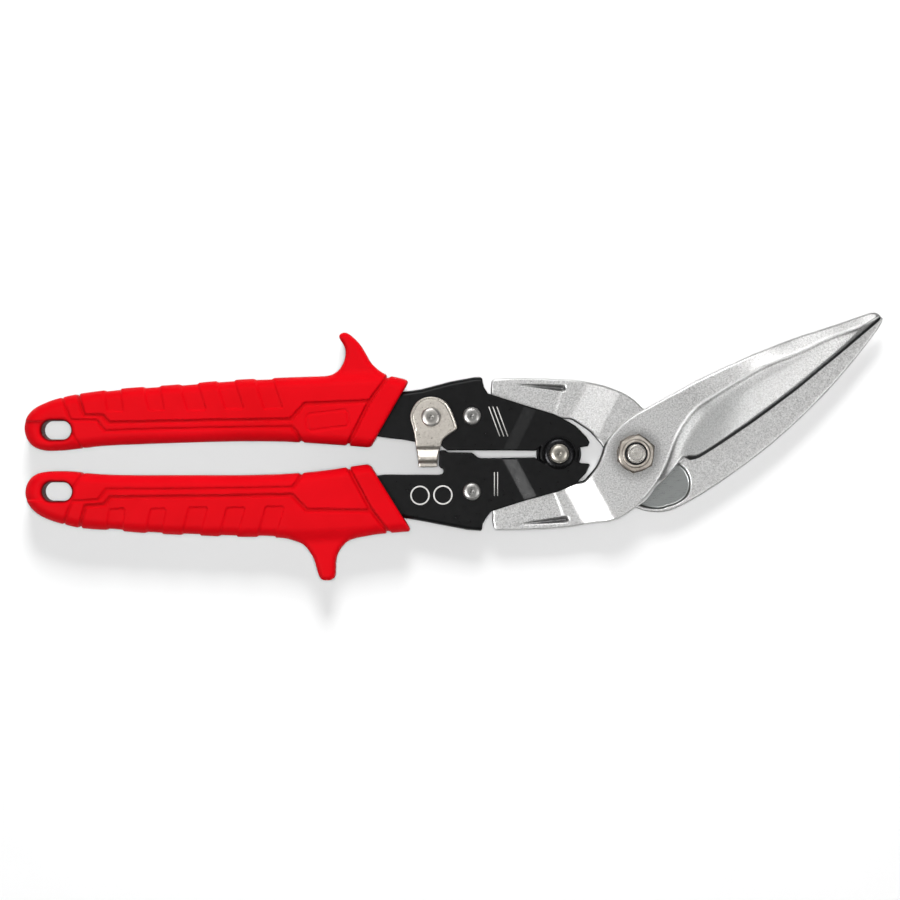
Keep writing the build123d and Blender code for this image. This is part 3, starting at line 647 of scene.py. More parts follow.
def forged(name="forged_steel"):
    m, nt, b, v = new_mat(name)
    gr = noise(nt, v, 1.7, 4, 0.75)
    fine = noise(nt, v, 3.0, 3, 0.6)
    big = noise(nt, v, 0.07, 3, 0.5)
    ground = attribute(nt, "ground")          # 1 where the steel is ground smooth
    bevel = attribute(nt, "bevel")            # 1 on the cutting bevel, painted near-black as its dark reflection
    c1 = ramp(nt, gr, [(0.34, (0.42, 0.418, 0.412)), (0.50, (0.69, 0.687, 0.68)), (0.66, (0.92, 0.917, 0.91))])
    c2 = mixc(nt, maprange(nt, big, 0.35, 0.65, 0.0, 0.22), c1, (0.72, 0.717, 0.71))
    mp = N(nt, "ShaderNodeMapping")
    mp.inputs["Rotation"].default_value = (0, 0, math.radians(-55))
    mp.inputs["Scale"].default_value = (0.35, 9.0, 9.0)
    nt.links.new(v, mp.inputs[0])
    brushed = noise(nt, mp.outputs[0], 1.0, 3, 0.6)
    c3 = ramp(nt, brushed, [(0.3, (0.345, 0.36, 0.355)), (0.7, (0.375, 0.39, 0.385))])
    c = mixc(nt, ground, c2, c3)
    # painted highlight: the crease crest and the blades' outer edges are lightened almost to white, standing in for the
    # light they catch
    c = mixc(nt, math_node(nt, 'MULTIPLY', attribute(nt, "painted_edge_highlight"), 0.85), c, (0.97, 0.968, 0.96))
    c = mixc(nt, math_node(nt, 'MULTIPLY', attribute(nt, "cast_shade"), 0.75), c, (0.10, 0.10, 0.10))
    c = mixc(nt, bevel, c, (0.045, 0.047, 0.048))
    nt.links.new(c, b.inputs["Base Color"])
    b.inputs["Metallic"].default_value = 1.0
    r1 = maprange(nt, gr, 0.3, 0.7, 0.27, 0.36)
    r2 = maprange(nt, brushed, 0.3, 0.7, 0.26, 0.34)
    rm = N(nt, "ShaderNodeMix", data_type='FLOAT')
    nt.links.new(ground, rm.inputs[0]); nt.links.new(r1, rm.inputs[2]); nt.links.new(r2, rm.inputs[3])
    nt.links.new(rm.outputs[0], b.inputs["Roughness"])
    inv = math_node(nt, 'SUBTRACT', 1.0, ground)
    h1 = math_node(nt, 'MULTIPLY', gr, inv)
    n1 = bump(nt, h1, 0.00012, 0.45)
    h2 = math_node(nt, 'MULTIPLY', fine, inv)
    n2 = bump(nt, h2, 0.00005, 0.35, n1)
    nt.links.new(n2, b.inputs["Normal"])
    return m


def plated(name, c0, c1, r0=0.26, r1=0.40, scale=1.2, bmp=0.00004, edge_shade=None):
    m, nt, b, v = new_mat(name)
    n = noise(nt, v, scale, 4, 0.6)
    c = ramp(nt, n, [(0.3, c0), (0.7, c1)])
    # optional painted shade: darker where the mesh's shade mask is set
    if edge_shade:
        c = mixc(nt, attribute(nt, "edge_shade"), c, edge_shade)
    nt.links.new(c, b.inputs["Base Color"])
    b.inputs["Metallic"].default_value = 1.0
    nt.links.new(maprange(nt, n, 0.3, 0.7, r0, r1), b.inputs["Roughness"])
    nt.links.new(bump(nt, noise(nt, v, scale * 3, 3, 0.6), bmp, 0.5), b.inputs["Normal"])
    return m


def turned(name, centre, c0, c1, pitch=6.0, r0=0.27, r1=0.33, highlight_gain=1.0, ring=0.0):
    """Turned or spun steel: fine rings about an axis parallel to Z through centre (mm)."""
    m, nt, b, v = new_mat(name)
    sub = N(nt, "ShaderNodeVectorMath", operation='SUBTRACT')
    sub.inputs[1].default_value = (centre[0], centre[1], 0)
    nt.links.new(v, sub.inputs[0])
    w = N(nt, "ShaderNodeTexWave", wave_type='RINGS', rings_direction='Z')
    w.inputs["Scale"].default_value = pitch * 0.05
    w.inputs["Distortion"].default_value = 0.15
    w.inputs["Detail"].default_value = 2
    nt.links.new(sub.outputs[0], w.inputs["Vector"])
    n = noise(nt, v, 0.9, 3, 0.5)
    flat = N(nt, "ShaderNodeVectorMath", operation='MULTIPLY')
    flat.inputs[1].default_value = (1, 1, 0)
    nt.links.new(sub.outputs[0], flat.inputs[0])
    dist = N(nt, "ShaderNodeVectorMath", operation='LENGTH')
    nt.links.new(flat.outputs[0], dist.inputs[0])
    core = ramp(nt, n, [(0.3, c0), (0.7, c1)])
    # painted highlight: the outer ring of the head is lightened, standing in for the light its rounded edge catches
    rim = tuple(min(1.0, x * highlight_gain) for x in c1)
    out = mixc(nt, maprange(nt, dist.outputs["Value"], 1.5, 3.1, 0.0, 1.0), core, rim)
    if ring:
        q = maprange(nt, dist.outputs["Value"], 0.0, 4.0, 0.0, 1.0)
        # painted shade: darker rings on the bolt end where its chamfer and steps turn away from the light
        shade_rings = ramp(nt, q, [(0.0, (0, 0, 0)), (0.10, (0.55, 0.55, 0.55)), (0.20, (0, 0, 0)), (0.52, (0.05, 0.05, 0.05)),
                                    (0.60, (1, 1, 1)), (0.67, (0.1, 0.1, 0.1)), (0.80, (0, 0, 0)), (0.88, (0.9, 0.9, 0.9))])
        out = mixc(nt, math_node(nt, 'MULTIPLY', shade_rings, ring), out, (0.20, 0.19, 0.175))
    nt.links.new(out, b.inputs["Base Color"])
    b.inputs["Metallic"].default_value = 1.0
    nt.links.new(maprange(nt, n, 0.3, 0.7, r0, r1), b.inputs["Roughness"])
    nt.links.new(bump(nt, w.outputs["Fac"], 0.00001, 0.05), b.inputs["Normal"])
    return m


def plastic_black():
    m, nt, b, v = new_mat("black_nylon")
    n = noise(nt, v, 2.0, 3, 0.6)
    nt.links.new(ramp(nt, n, [(0.3, (0.010, 0.010, 0.011)), (0.7, (0.018, 0.018, 0.020))]), b.inputs["Base Color"])
    nt.links.new(maprange(nt, n, 0.3, 0.7, 0.40, 0.55), b.inputs["Roughness"])
    nt.links.new(bump(nt, n, 0.00005, 0.4), b.inputs["Normal"])
    return m


def paint_white():
    m, nt, b, v = new_mat("mark_print")
    n = noise(nt, v, 4.0, 3, 0.7)
    nt.links.new(ramp(nt, n, [(0.3, (0.55, 0.54, 0.52)), (0.6, (0.78, 0.77, 0.75))]), b.inputs["Base Color"])
    nt.links.new(maprange(nt, n, 0.3, 0.7, 0.45, 0.65), b.inputs["Roughness"])
    nt.links.new(bump(nt, n, 0.00003, 0.4), b.inputs["Normal"])
    return m


RED = rubber()
BLACK = black_sheet()
STEEL = forged()
NICKEL = plated("nickel_plate", (0.61, 0.565, 0.505), (0.74, 0.695, 0.63))
SPRING = plated("spring_wire", (0.030, 0.030, 0.032), (0.060, 0.060, 0.062), 0.32, 0.45)
NYLON = plastic_black()
PRINT = paint_white()

# ------------------------------------------------------------------ grips
GH = 0.38


def obround(X, Y, c, L, W):
    r = W / 2
    hx = L / 2 - r
    qx = np.maximum(np.abs(X - c[0]) - hx, 0)
    return np.sqrt(qx ** 2 + (Y - c[1]) ** 2) - r


def groove(d, w, depth, edge=0.22):
    return depth * (1 - sstep(w / 2 - edge, w / 2 + edge, d))


def make_grip(name, body_pts, horn_pts, end_line, hole, feats, slots, body, node, mark):
    P = smooth_loop(body_pts, 5)
    Q = smooth_loop(horn_pts, 5)
    lo = np.minimum(P.min(0), Q.min(0)) - 1.5
    hi = np.maximum(P.max(0), Q.max(0)) + 1.5
    ex = max(end_line[0][0], end_line[1][0]) + 3
    hi[0] = min(hi[0], ex)
    g = Grid(lo[0], hi[0], lo[1], hi[1], -9.4, 9.4, GH)
    X, Y, Z = g.X, g.Y, g.Z
    db = sd_poly(P, X, Y)
    dh = sd_poly(Q, X, Y)
    ue = band_u(end_line, X, Y)
    az = np.abs(Z)
    # crown the broad faces a little so they are not dead flat
    T = 8.5 - 0.30 * (1 - sstep(0.0, 9.0, -db))
    fb = round_and(db[:, :, None], az - T[:, :, None], 4.2)
    fh = round_and(dh[:, :, None], az - 6.3, 1.9)
    F = smin(fb, fh, 3.2)
    F = smax(F, ue[:, :, None] + 0 * Z, 1.5)
    thick, thin, collar, hr, hl = feats
    carve = groove(d_path(thick[:6 + 2], X, Y), 1.15, 0.75)
    carve = np.maximum(carve, groove(d_path(thick[7:], X, Y), 1.35, 0.62))
    carve = np.maximum(carve, groove(d_path(thin[:8], X, Y), 0.85, 0.50))
    carve = np.maximum(carve, groove(d_path(thin[7:], X, Y), 1.25, 0.60))
    carve = np.maximum(carve, groove(d_path(collar, X, Y), 1.30, 0.85))
    carve = np.maximum(carve, groove(d_path(hr, X, Y), 0.80, 0.48))
    # painted shade mask: 1 in the deeper grooves, where shade falls
    groove_shade = np.clip(carve / 0.6, 0, 1)
    ctr = P.mean(0)
    for s in slots:
        q = np.array(s, float)
        q = q + (q - q.mean(0)) / np.linalg.norm(q - q.mean(0), axis=1)[:, None] * -0.75
        ds = sd_poly(q, X, Y) - 0.75
        carve = np.maximum(carve, 0.50 * (1 - sstep(-0.28, 0.22, ds)))
    # blank moulded badge on the panel: a sunken line round an empty field
    mk = np.zeros_like(carve)
    if mark:
        cx, cy, L, W, rot = mark
        ca, sa = math.cos(rot), math.sin(rot)
        U, V = (X - cx) * ca + (Y - cy) * sa, -(X - cx) * sa + (Y - cy) * ca
        qx, qy = np.maximum(np.abs(U) - L / 2 + 1.6, 0), np.maximum(np.abs(V) - W / 2 + 1.6, 0)
        dm = np.abs(np.hypot(qx, qy) + np.minimum(np.maximum(np.abs(U) - L / 2 + 1.6, np.abs(V) - W / 2 + 1.6), 0) - 1.6)
        mk = 1 - sstep(0.20, 0.65, dm)
    F = F + carve[:, :, None] + 0.30 * mk[:, :, None] * (az > 6)
    # lanyard hole with a drafted, rounded mouth; a cord channel runs from it to the end of the grip
    do = obround(X, Y, hole, 10.9, 6.9)
    dish = 0.35 * (1 - sstep(0.3, 2.2, do))
    F = F + dish[:, :, None] * (az > 4)
    sg = 1.0 if node == "upper_grip" else -1.0
    ty = (Y - hole[1]) * sg                                    # toward the outer side of the tool
    along = 1 - sstep(hole[0] - 3.5, hole[0] + 0.5, X)
    chan = (1 - sstep(2.9, 3.7, ty)) * sstep(-7.0, -1.5, ty) * along
    F = F + 1.15 * chan[:, :, None] * sstep(3.0, 7.0, az)
    dd = -(do[:, :, None] - 0.035 * np.maximum(az - 2, 0))
    F = smax(F, dd, 1.3)
    v, f = surface(F.astype(np.float32), g)
    ob = add_mesh(name, v, f, body, (node,), True, RED)
    attr(ob, "groove", interp2(g, groove_shade, v) * 0.6)
    # painted shadow mask on the lanyard hole's inner wall
    attr(ob, "hole", 0.95 * (1 - sstep(0.15, 1.25, interp2(g, do, v))))
    ob.visible_diffuse = False             # keeps the red off the white floor
    return ob


make_grip("upper_grip_moulded", UPPER_GRIP_BODY, UPPER_GRIP_HORN, UPPER_GRIP_END, HOLE_UP,
          (G_THICK, G_THIN, G_COLLAR, G_HOLE_R, G_HOLE_L), (SLOT_0, SLOT_1, SLOT_2, SLOT_3, SLOT_4),
          "upper_handle", "upper_grip", (-114.8, 12.4, 15.5, 6.2, math.radians(7)))
make_grip("lower_grip_moulded", LOWER_GRIP_BODY, LOWER_GRIP_HORN, LOWER_GRIP_END, HOLE_LO,
          (H_THICK, H_THIN, H_COLLAR, H_HOLE_R, H_HOLE_L), (HSLOT_0, HSLOT_1, HSLOT_2, HSLOT_3, HSLOT_4),
          "lower_handle", "lower_grip", None)

# ------------------------------------------------------------------ handle frames
FH = 0.34


def make_frame(name, outline, edge, line, w, z2, corner_x, up, body, node):
    P = np.array(outline)
    lo = P.min(0) - 1.2
    hi = P.max(0) + 1.2
    lo[0] = -124.0                       # the tang inside the grip isn't seen
    zt = max(IN_Z, z2) + SHEET
    g = Grid(lo[0], hi[0], lo[1], hi[1], -zt - 0.9, zt + 0.9, FH)
    X, Y, Z = g.X, g.Y, g.Z
    d = sd_poly(P, X, Y)
    u = band_u(line, X, Y)
    step = np.clip(u / w, 0, 1)
    step = 0.8 * step + 0.2 * sstep(0, w, u)
    zi = IN_Z + (z2 - IN_Z) * step
    zc = zi + SHEET / 2
    az = np.abs(Z)
    # plates
    fp = round_and(d[:, :, None], np.abs(az - zc[:, :, None]) - SHEET / 2, 0.30)
    # web: region inside the folded outer edge
    far = 60 if up else -60
    W = [tuple(p) for p in edge] + [(corner_x, edge[-1][1]), (corner_x, far), (80, far), (80, -far), (-260, -far)]
    W = W + [(-260, edge[0][1])]
    dw = sd_poly(W, X, Y)
    outer = round_and(dw[:, :, None], az - (IN_Z + SHEET), 1.7)
    outer = np.maximum(outer, d[:, :, None] + 0 * Z)
    cav = round_and(dw[:, :, None] + SHEET, az - IN_Z, 0.5)
    fweb = np.maximum(outer, -cav)
    near = (X < corner_x + 0.5)[:, :, None]
    # left of the channel's corner the folded section is used, right of it the plates alone
    F = np.where(near & (u < 0)[:, :, None], fweb, fp)
    v, f = surface(F.astype(np.float32), g)
    return add_mesh(name, v, f, body, (node,), True, BLACK)


eye_lo = arc(P1, 6.2, -21, 222, 40)
lower_outline = LOWER_FRAME_OUT[:-1] + eye_lo + LOWER_FRAME_IN[1:]
eye_up = arc(P1, 7.2, 15, -205, 40)
upper_outline = UPPER_FRAME_OUT[:-1] + eye_up + UPPER_FRAME_IN[1:]


def bw(line, line2):
    x0, y0, ux, uy = band(line)
    return ((line2[0][0] + line2[1][0]) / 2 - x0) * ux + ((line2[0][1] + line2[1][1]) / 2 - y0) * uy


W_J = bw(LOWER_JOGGLE, LOWER_JOGGLE2)
make_frame("lower_handle_channel", lower_outline, LOWER_FRAME_OUT[:11], LOWER_JOGGLE, W_J, NEST_OUT,
           LOWER_FRAME_OUT[10][0], False, "lower_handle", "lower_handle_frame")
make_frame("upper_handle_channel", upper_outline, UPPER_FRAME_OUT[:11], UPPER_JOGGLE, W_J, NEST_IN,
           UPPER_FRAME_OUT[10][0], True, "upper_handle", "upper_handle_frame")

# ------------------------------------------------------------------ blades
BH = 0.40


def jaw_relief(g, crease, edge, dplan, hmax, sgn):
    """Height of a jaw's outer face: boss, crease, hollow face, spine bevel and the cutting bevel."""
    X, Y = g.X, g.Y
    s = d_path(smooth_path(crease, 5), X, Y, signed=True) * sgn
    de = d_path(smooth_path(edge, 4), X, Y)
    r = np.hypot(X, Y)
    hc = hmax - 2.0 * sstep(34, 112, r)
    te = 2.9 + 0.8 * (1 - sstep(26, 54, r)) - 1.1 * sstep(30, 105, r)
    ins = np.maximum(-dplan, 0)
    q = np.clip(s / np.maximum(s + ins, 1e-3), 0, 1)
    near = 1 - sstep(27, 46, r)               # the face is set down deeper beside the boss
    lip = np.interp(s, [0.0, 0.15, 0.60, 1.20, 1.50, 1.9], [0.0, 0.015, 0.12, 0.29, 0.35, 0.36])
    deep = np.interp(s, [0.80, 1.4, 2.0, 4.0, 5.4], [0.0, 0.06, 0.18, 0.62, 0.70]) * near
    deep = np.minimum(deep, np.maximum(hc - lip - te - 0.05, 0))
    base = hc - lip - deep
    hollow = base - (base - te) * q ** 1.5
    k = 0.10 * sstep(20, 42, r) + 0.29 * sstep(44, 76, r)
    spine = hc - k * np.maximum(-s, 0)
    h = np.where(s > 0, hollow, spine)
    bev = 0.85 + (te - 0.85) * np.clip(de / 1.30, 0, 4)
    on_edge = (s > 0) & (r > 18)
    h = np.where(on_edge, np.minimum(h, bev), h)
    # painted reflection: the cutting bevel mask, coloured near-black for the dark it reflects
    bevel = np.where(on_edge, 1 - sstep(1.15, 1.40, de), 0)
    ground = np.where(s > 0, 0.35 * (1 - sstep(38, 62, r)), 0)
    # painted highlight mask along the crease crest
    crest_highlight = np.exp(-((s - 0.05) / 0.42) ** 2) * sstep(11, 17, r)
    return h, s, np.clip(ground, 0, 1), de, bevel, crest_highlight


def make_blade(name, plan, keep, eye, line, line2, front, crease, edge, panel, wedge, body, node):
    plan = list(plan)
    # the inner edges of the tails run on under the handle sheets
    if front:
        for i, p in ((50, (-21.75, -10.55)), (51, (-24.4, -10.2)), (52, (-28.2, -9.6))):
            plan[i] = p
    else:
        for i, dy in ((50, -1.1), (51, -1.5), (52, -1.9), (53, -1.9)):
            plan[i] = (plan[i][0], plan[i][1] + dy)
    plan = plan[:-1] + eye
    P = smooth_loop(plan, 4, keep)
    lo = P.min(0) - 1.2
    hi = P.max(0) + 1.2
    z0, z1 = (-3.2, 5.9) if front else (-5.9, 3.2)
    g = Grid(lo[0], hi[0], lo[1], hi[1], z0, z1, BH)
    X, Y, Z = g.X, g.Y, g.Z
    d = sd_poly(P, X, Y)
    u = band_u(line, X, Y)
    w = bw(line, line2)
    ru = np.clip(u / w, 0, 1)
    if front:
        jaw, s, ground, de, bevel, crest_highlight = jaw_relief(g, crease, edge, d, BLADE_T, 1.0)
        top = TAIL_H + (jaw - TAIL_H) * ru
        rise = TAIL_H + (BLADE_T - TAIL_H) * u / w
        top = smin(smax(rise, np.full_like(u, TAIL_H), 0.30), np.maximum(jaw, np.where(u > w + 3, 0, BLADE_T)) * (u <= w + 3) + jaw * (u > w + 3), 0.30)
        bot = -TAIL_H + (TAIL_H + 0.02) * ru
        bot = np.where(u > w, 0.02, bot)
    else:
        jaw, s, ground, de, bevel, crest_highlight = jaw_relief(g, crease, edge, d, BLADE_T, 1.0)
        bot = np.where(u > w, -jaw, -TAIL_H - (BLADE_T - TAIL_H) * ru)
        fall = TAIL_H - (TAIL_H + 0.02) * u / w
        top = smax(smin(fall, np.full_like(u, TAIL_H), 0.30), np.full_like(u, -0.02), 0.0001 + 0.25 * (u < w))
        top = np.where(u > w, -0.02, np.minimum(top, TAIL_H))
        rel_c = RELIEF_ARC_C[0]
        dr = np.minimum(np.hypot(X - rel_c[0], Y - rel_c[1]) - 8.9, sd_poly(RELIEF_POLY, X, Y))
        dr = np.maximum(dr, 9.7 - np.hypot(X, Y))
        dr = smax(dr, d + 1.25, 1.2)
        rel = 1 - sstep(-0.55, 0.05, dr)
        top = top - 0.9 * rel
        ground = np.maximum(ground * 0, rel)
    # cast recess on the tail: a shallow field and a narrow wedge that deepens toward the ramp
    dp = sd_poly(panel, X, Y)
    fx = np.clip((X - panel[0][0]) / 20.0, 0, 1)
    top = top - 0.15 * fx * (1 - sstep(-0.55, 0.10, dp))
    (wx0, wy0), (wx1, wy1) = wedge
    L = math.hypot(wx1 - wx0, wy1 - wy0)
    tx, ty = (wx1 - wx0) / L, (wy1 - wy0) / L
    wu = (X - wx0) * tx + (Y - wy0) * ty
    wv = np.abs(-(X - wx0) * ty + (Y - wy0) * tx)
    wf = np.clip(wu / L, 0, 1)
    hw = 0.22 + 1.00 * wf
    over = np.maximum(wu - L, 0)
    vv = np.hypot(wv, over)
    cut = np.clip(1 - vv / np.maximum(hw, 0.05), 0, 1) * (wu > 0)
    top = top - 1.35 * wf ** 0.7 * cut
    shade = np.clip(cut * 2.2, 0, 1) * np.clip(0.25 + wf * 1.3, 0, 1)
    inner = plan[44:54] if not front else plan[45:51]
    re = 0.42 + 0.62 * (1 - sstep(0.6, 2.6, d_path(inner, X, Y)))[:, :, None]
    edge_in = np.where((s > 0) & (np.hypot(X, Y) > 18), 0.0, 1.0)
    ft = round_and(d[:, :, None], Z - top[:, :, None], re)
    ft0 = np.maximum(d[:, :, None], Z - top[:, :, None])
    near_edge = (sstep(2.5, 5.0, de) if front else np.ones_like(de))[:, :, None]
    ft = ft * near_edge + ft0 * (1 - near_edge)
    fbm = round_and(d[:, :, None], bot[:, :, None] - Z, 0.16 if front else re)
    if not front:
        ft = round_and(d[:, :, None], Z - top[:, :, None], 0.30)
        ne = sstep(2.5, 5.0, de)[:, :, None]
        fbm = fbm * ne + np.maximum(d[:, :, None], bot[:, :, None] - Z) * (1 - ne)
    F = np.maximum(ft, fbm)
    # no pivot hole is cut: the bolt fills its place
    v, f = surface(F.astype(np.float32), g)
    ob = add_mesh(name, v, f, body, (node,), True, STEEL)
    gv = interp2(g, ground, v)
    bv = interp2(g, bevel, v)
    sv = interp2(g, shade, v) * (v[:, 2] > 0.4)
    if front:                              # painted shade: the face is darkened in a ring round the nut, where its shadow falls
        rn = np.hypot(v[:, 0], v[:, 1])
        sv = np.maximum(sv, 0.50 * (1 - sstep(6.8, 12.0, rn)) * (v[:, 2] > 4.0))
    # painted shade: the tails' inner edges are darkened for the shadow beside their side walls
    inr = (1 - sstep(0.35, 0.85, -d)) * (1 - sstep(0.6, 1.8, d_path(plan[44:54] if not front else plan[45:51], X, Y)))
    sv = np.maximum(sv, interp2(g, inr, v) * 1.15)
    attr(ob, "cast_shade", np.clip(sv, 0, 1.2))
    # painted highlight mask along the blade's outer edges
    rim = 0.8 * (1 - sstep(0.35, 0.95, -d)) * (de > 2.2)
    edge_highlight = interp2(g, np.maximum(crest_highlight if front else 0 * crest_highlight, rim), v) * (v[:, 2] > -0.1 if not front else v[:, 2] > 0.8)
    attr(ob, "painted_edge_highlight", np.clip(edge_highlight, 0, 1))
    if front:
        gv = np.where(v[:, 2] < 0.12, 0.9, gv)
        bv = np.where((v[:, 2] > 0.5), bv, 0)
    else:
        gv = np.where(v[:, 2] > -1.2, gv, 0)
        bv = np.where(v[:, 2] < -0.5, bv, 0)
    attr(ob, "ground", np.clip(gv, 0, 1))
    attr(ob, "bevel", np.clip(bv, 0, 1))
    return ob


eye_b = arc(B, 6.8, 90, 290, 20)
eye_a = arc(A, 6.8, -90, -290, 20)
make_blade("upper_jaw_forging", UPPER_JAW_PLAN, (2, 16, 18), eye_b, UPPER_JAW_RAMP, UPPER_JAW_RAMP2, True,
           UPPER_JAW_CREASE, EDGE_FRONT, [(-48.5, -8.0), (-36.0, -8.0), (-30.4, -13.5), (-26.1, -24.6), (-33.0, -25.7), (-44.5, -26.8), (-49.2, -26.9)], ((-43.8, -26.5), (-26.0, -24.65)), "upper_jaw", "upper_jaw_blade")
make_blade("lower_jaw_forging", LOWER_JAW_PLAN, (0, 53), eye_a, LOWER_JAW_RAMP, LOWER_JAW_RAMP2, False,
           CREASE_BACK, EDGE_BACK, [(-48.5, 25.7), (-45.5, 26.2), (-38.4, 26.0), (-26.4, 24.9), (-30.6, 13.0), (-36.0, 8.0), (-48.5, 8.0)], ((-44.9, 25.9), (-27.0, 24.45)), "lower_jaw", "lower_jaw_blade")

# ------------------------------------------------------------------ latch
def make_latch():
    P = smooth_loop(LATCH_PLAN, 5, keep=(12, 13))
    lo = P.min(0) - 0.9
    hi = P.max(0) + 0.9
    g = Grid(lo[0], hi[0], lo[1], hi[1], -1.8, 8.2, 0.17)
    X, Y, Z = g.X, g.Y, g.Z
    d = sd_poly(P, X, Y)
    z = 5.7
    prof = smooth_path([(-5.3, z - .86), (-3.95, z - .82), (-3.4, z - .62), (-2.55, z + .34), (-1.95, z + .55), (-0.9, z + .42),
                        (0.7, z + .0), (1.3, z - .17), (1.8, z - .05), (2.6, z + .50), (3.2, z + .66), (8.8, z + 1.56), (9.6, z + 1.6), (22.5, z + 1.6)], 5)
    top = np.interp(Y, prof[:, 0], prof[:, 1])
    bot = np.interp(Y, prof[:, 0], prof[:, 1] - 1.35 - 0.25 * (prof[:, 0] > 4))
    bot = np.where(Y > -0.6, np.maximum(bot, 4.5), bot)
    bot = np.where(Y > 9.2, z, bot)
    F1 = round_and(d[:, :, None], Z - top[:, :, None], 0.40)
    F1 = np.maximum(F1, bot[:, :, None] - Z)
    hook = np.maximum(np.maximum(Y - (-3.5), -4.8 - Y), d)[:, :, None]
    F2 = np.maximum(np.maximum(hook, -0.95 - Z), Z - (z - 1.1))
    F = smin(F1, F2, 0.5)
    line = groove(np.abs(d + 0.85), 0.34, 0.22, 0.10) * sstep(8.0, 10.0, Y)
    F = F + line[:, :, None] * (Z > z + 0.8)
    v, f = surface(F.astype(np.float32), g)
    return add_mesh("latch_plate", v, f, "latch", ("latch",), True, NICKEL)


make_latch()

# ------------------------------------------------------------------ turned parts
def lathe(name, centre, profile, body, nodes, mat, seg=72):
    """Solid of revolution; profile is (r, z) from the bottom centre to the top centre, mm above mid-plane."""
    prof = [p for p in profile]
    verts, faces = [], []
    rows = []
    for (r, z) in prof:
        if r < 1e-6:
            rows.append([len(verts)])
            verts.append((centre[0], centre[1], z))
        else:
            rows.append(list(range(len(verts), len(verts) + seg)))
            for k in range(seg):
                t = 2 * math.pi * k / seg
                verts.append((centre[0] + r * math.cos(t), centre[1] + r * math.sin(t), z))
    for a, b in zip(rows, rows[1:]):
        for k in range(seg):
            k2 = (k + 1) % seg
            if len(a) == 1:
                faces.append((a[0], b[k2], b[k]))
            elif len(b) == 1:
                faces.append((a[k], a[k2], b[0]))
            else:
                faces.append((a[k], a[k2], b[k2], b[k]))
    me = bpy.data.meshes.new(name)
    me.from_pydata([(x * .001, y * .001, (z + MID) * .001) for x, y, z in verts], [], faces)
    me.validate()
    me.update()
    me.polygons.foreach_set("use_smooth", np.ones(len(me.polygons), bool))
    ob = bpy.data.objects.new(name, me)
    bpy.context.scene.collection.objects.link(ob)
    me.materials.append(mat)
    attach(ob, body)
    if nodes:
        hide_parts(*nodes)
    return ob


def soft(pts, r=0.18, n=3):
    """Rounds the corners of an open profile."""
    P = [np.array(p, float) for p in pts]
    out = [tuple(P[0])]
    for i in range(1, len(P) - 1):
        a, b, c = P[i - 1], P[i], P[i + 1]
        u, v = a - b, c - b
        lu, lv = np.linalg.norm(u), np.linalg.norm(v)
        k = min(r, lu * 0.4, lv * 0.4)
        p, q = b + u / lu * k, b + v / lv * k
        for j in range(n + 1):
            t = j / n
            out.append(tuple((1 - t) ** 2 * p + 2 * t * (1 - t) * b + t * t * q))
    out.append(tuple(P[-1]))
    return out


def rivet_profile(r, z0, z1, hr, h0, h1):
    """Rivet with two formed heads: domed with a small set-down centre."""
    def head(z, h, s):
        return [(hr, z), (hr, z + s * h * 0.45), (hr * 0.975, z + s * h * 0.62), (hr * 0.90, z + s * h * 0.80), (hr * 0.76, z + s * h * 0.92),
                (hr * 0.50, z + s * h), (hr * 0.22, z + s * (h - 0.02)), (hr * 0.13, z + s * (h - 0.20)), (0, z + s * (h - 0.24))]
    lowh = head(z0, h0, -1)[::-1]
    up = head(z1, h1, 1)
    return soft(lowh + [(r, z0), (r, z1)] + up, 0.16)


RIV_A = turned("rivet_steel_a", A, (0.26, 0.257, 0.25), (0.31, 0.305, 0.295), highlight_gain=2.5)
RIV_B = turned("rivet_steel_b", B, (0.26, 0.257, 0.25), (0.31, 0.305, 0.295), highlight_gain=2.5)
RIV_C = turned("rivet_steel_c", P1, (0.27, 0.255, 0.225), (0.36, 0.34, 0.30), highlight_gain=2.1)
RIV_L = turned("rivet_steel_l", LATCH_C, (0.28, 0.27, 0.25), (0.36, 0.345, 0.325), highlight_gain=2.1)
BOLT = turned("bolt_steel", P0, (0.70, 0.67, 0.62), (0.80, 0.77, 0.72), 5.0, 0.24, 0.30, ring=0.55)
lathe("upper_tail_rivet", A, rivet_profile(2.3, -4.4, 4.4, 3.35, 1.5, 1.7), "upper_handle", ("upper_blade_rivet",), RIV_A)
lathe("lower_tail_rivet", B, rivet_profile(2.3, -4.4, 4.4, 3.35, 1.5, 1.7), "lower_handle", ("lower_blade_rivet",), RIV_B)
lathe("centre_rivet", P1, rivet_profile(2.5, -6.3, 6.3, 3.65, 1.6, 2.0), "lower_handle", ("centre_pivot_rivet",), RIV_C)
lathe("latch_pin", LATCH_C, rivet_profile(2.2, -4.4, 7.35, 3.7, 1.5, 1.6), "upper_handle", ("latch_rivet",), RIV_L)
WASHER = plated("washer_black", (0.020, 0.020, 0.021), (0.035, 0.035, 0.037), 0.20, 0.30, 1.5, 0.00003)


def prof_w(za, zb):
    """Domed washer: thick collar round the rivet, falling to a thin rim."""
    if za > 0:
        p = [(2.55, za), (5.9, za), (5.9, za + 0.20), (5.3, za + 0.62), (4.6, zb), (2.55, zb)]
    else:
        p = [(2.55, za), (4.6, za), (5.3, zb - 0.62), (5.9, zb - 0.20), (5.9, zb), (2.55, zb)]
    return soft(p, 0.18) + [(2.55, za)]


for nm, za, zb, nd in (("washer_front", 5.5, 6.3, "centre_washer_front"), ("washer_back", -6.3, -5.5, "centre_washer_back")):
    lathe(nm, P1, prof_w(za, zb), "lower_handle", (nd,), WASHER)
lathe("latch_washer", LATCH_C, soft([(2.2, 4.4), (4.4, 4.4), (4.4, 5.65), (2.2, 5.65)], 0.15) + [(2.2, 4.4)], "upper_handle", ("latch_spacer_washer",), NICKEL)

# pivot bolt: low hex head below, threaded end above
def hex_sd(X, Y, af, turn):
    d = np.full(X.shape, -1e9)
    for i in range(6):
        a = math.radians(turn + 30 + 60 * i)
        d = np.maximum(d, X * math.cos(a) + Y * math.sin(a) - af / 2)
    return d


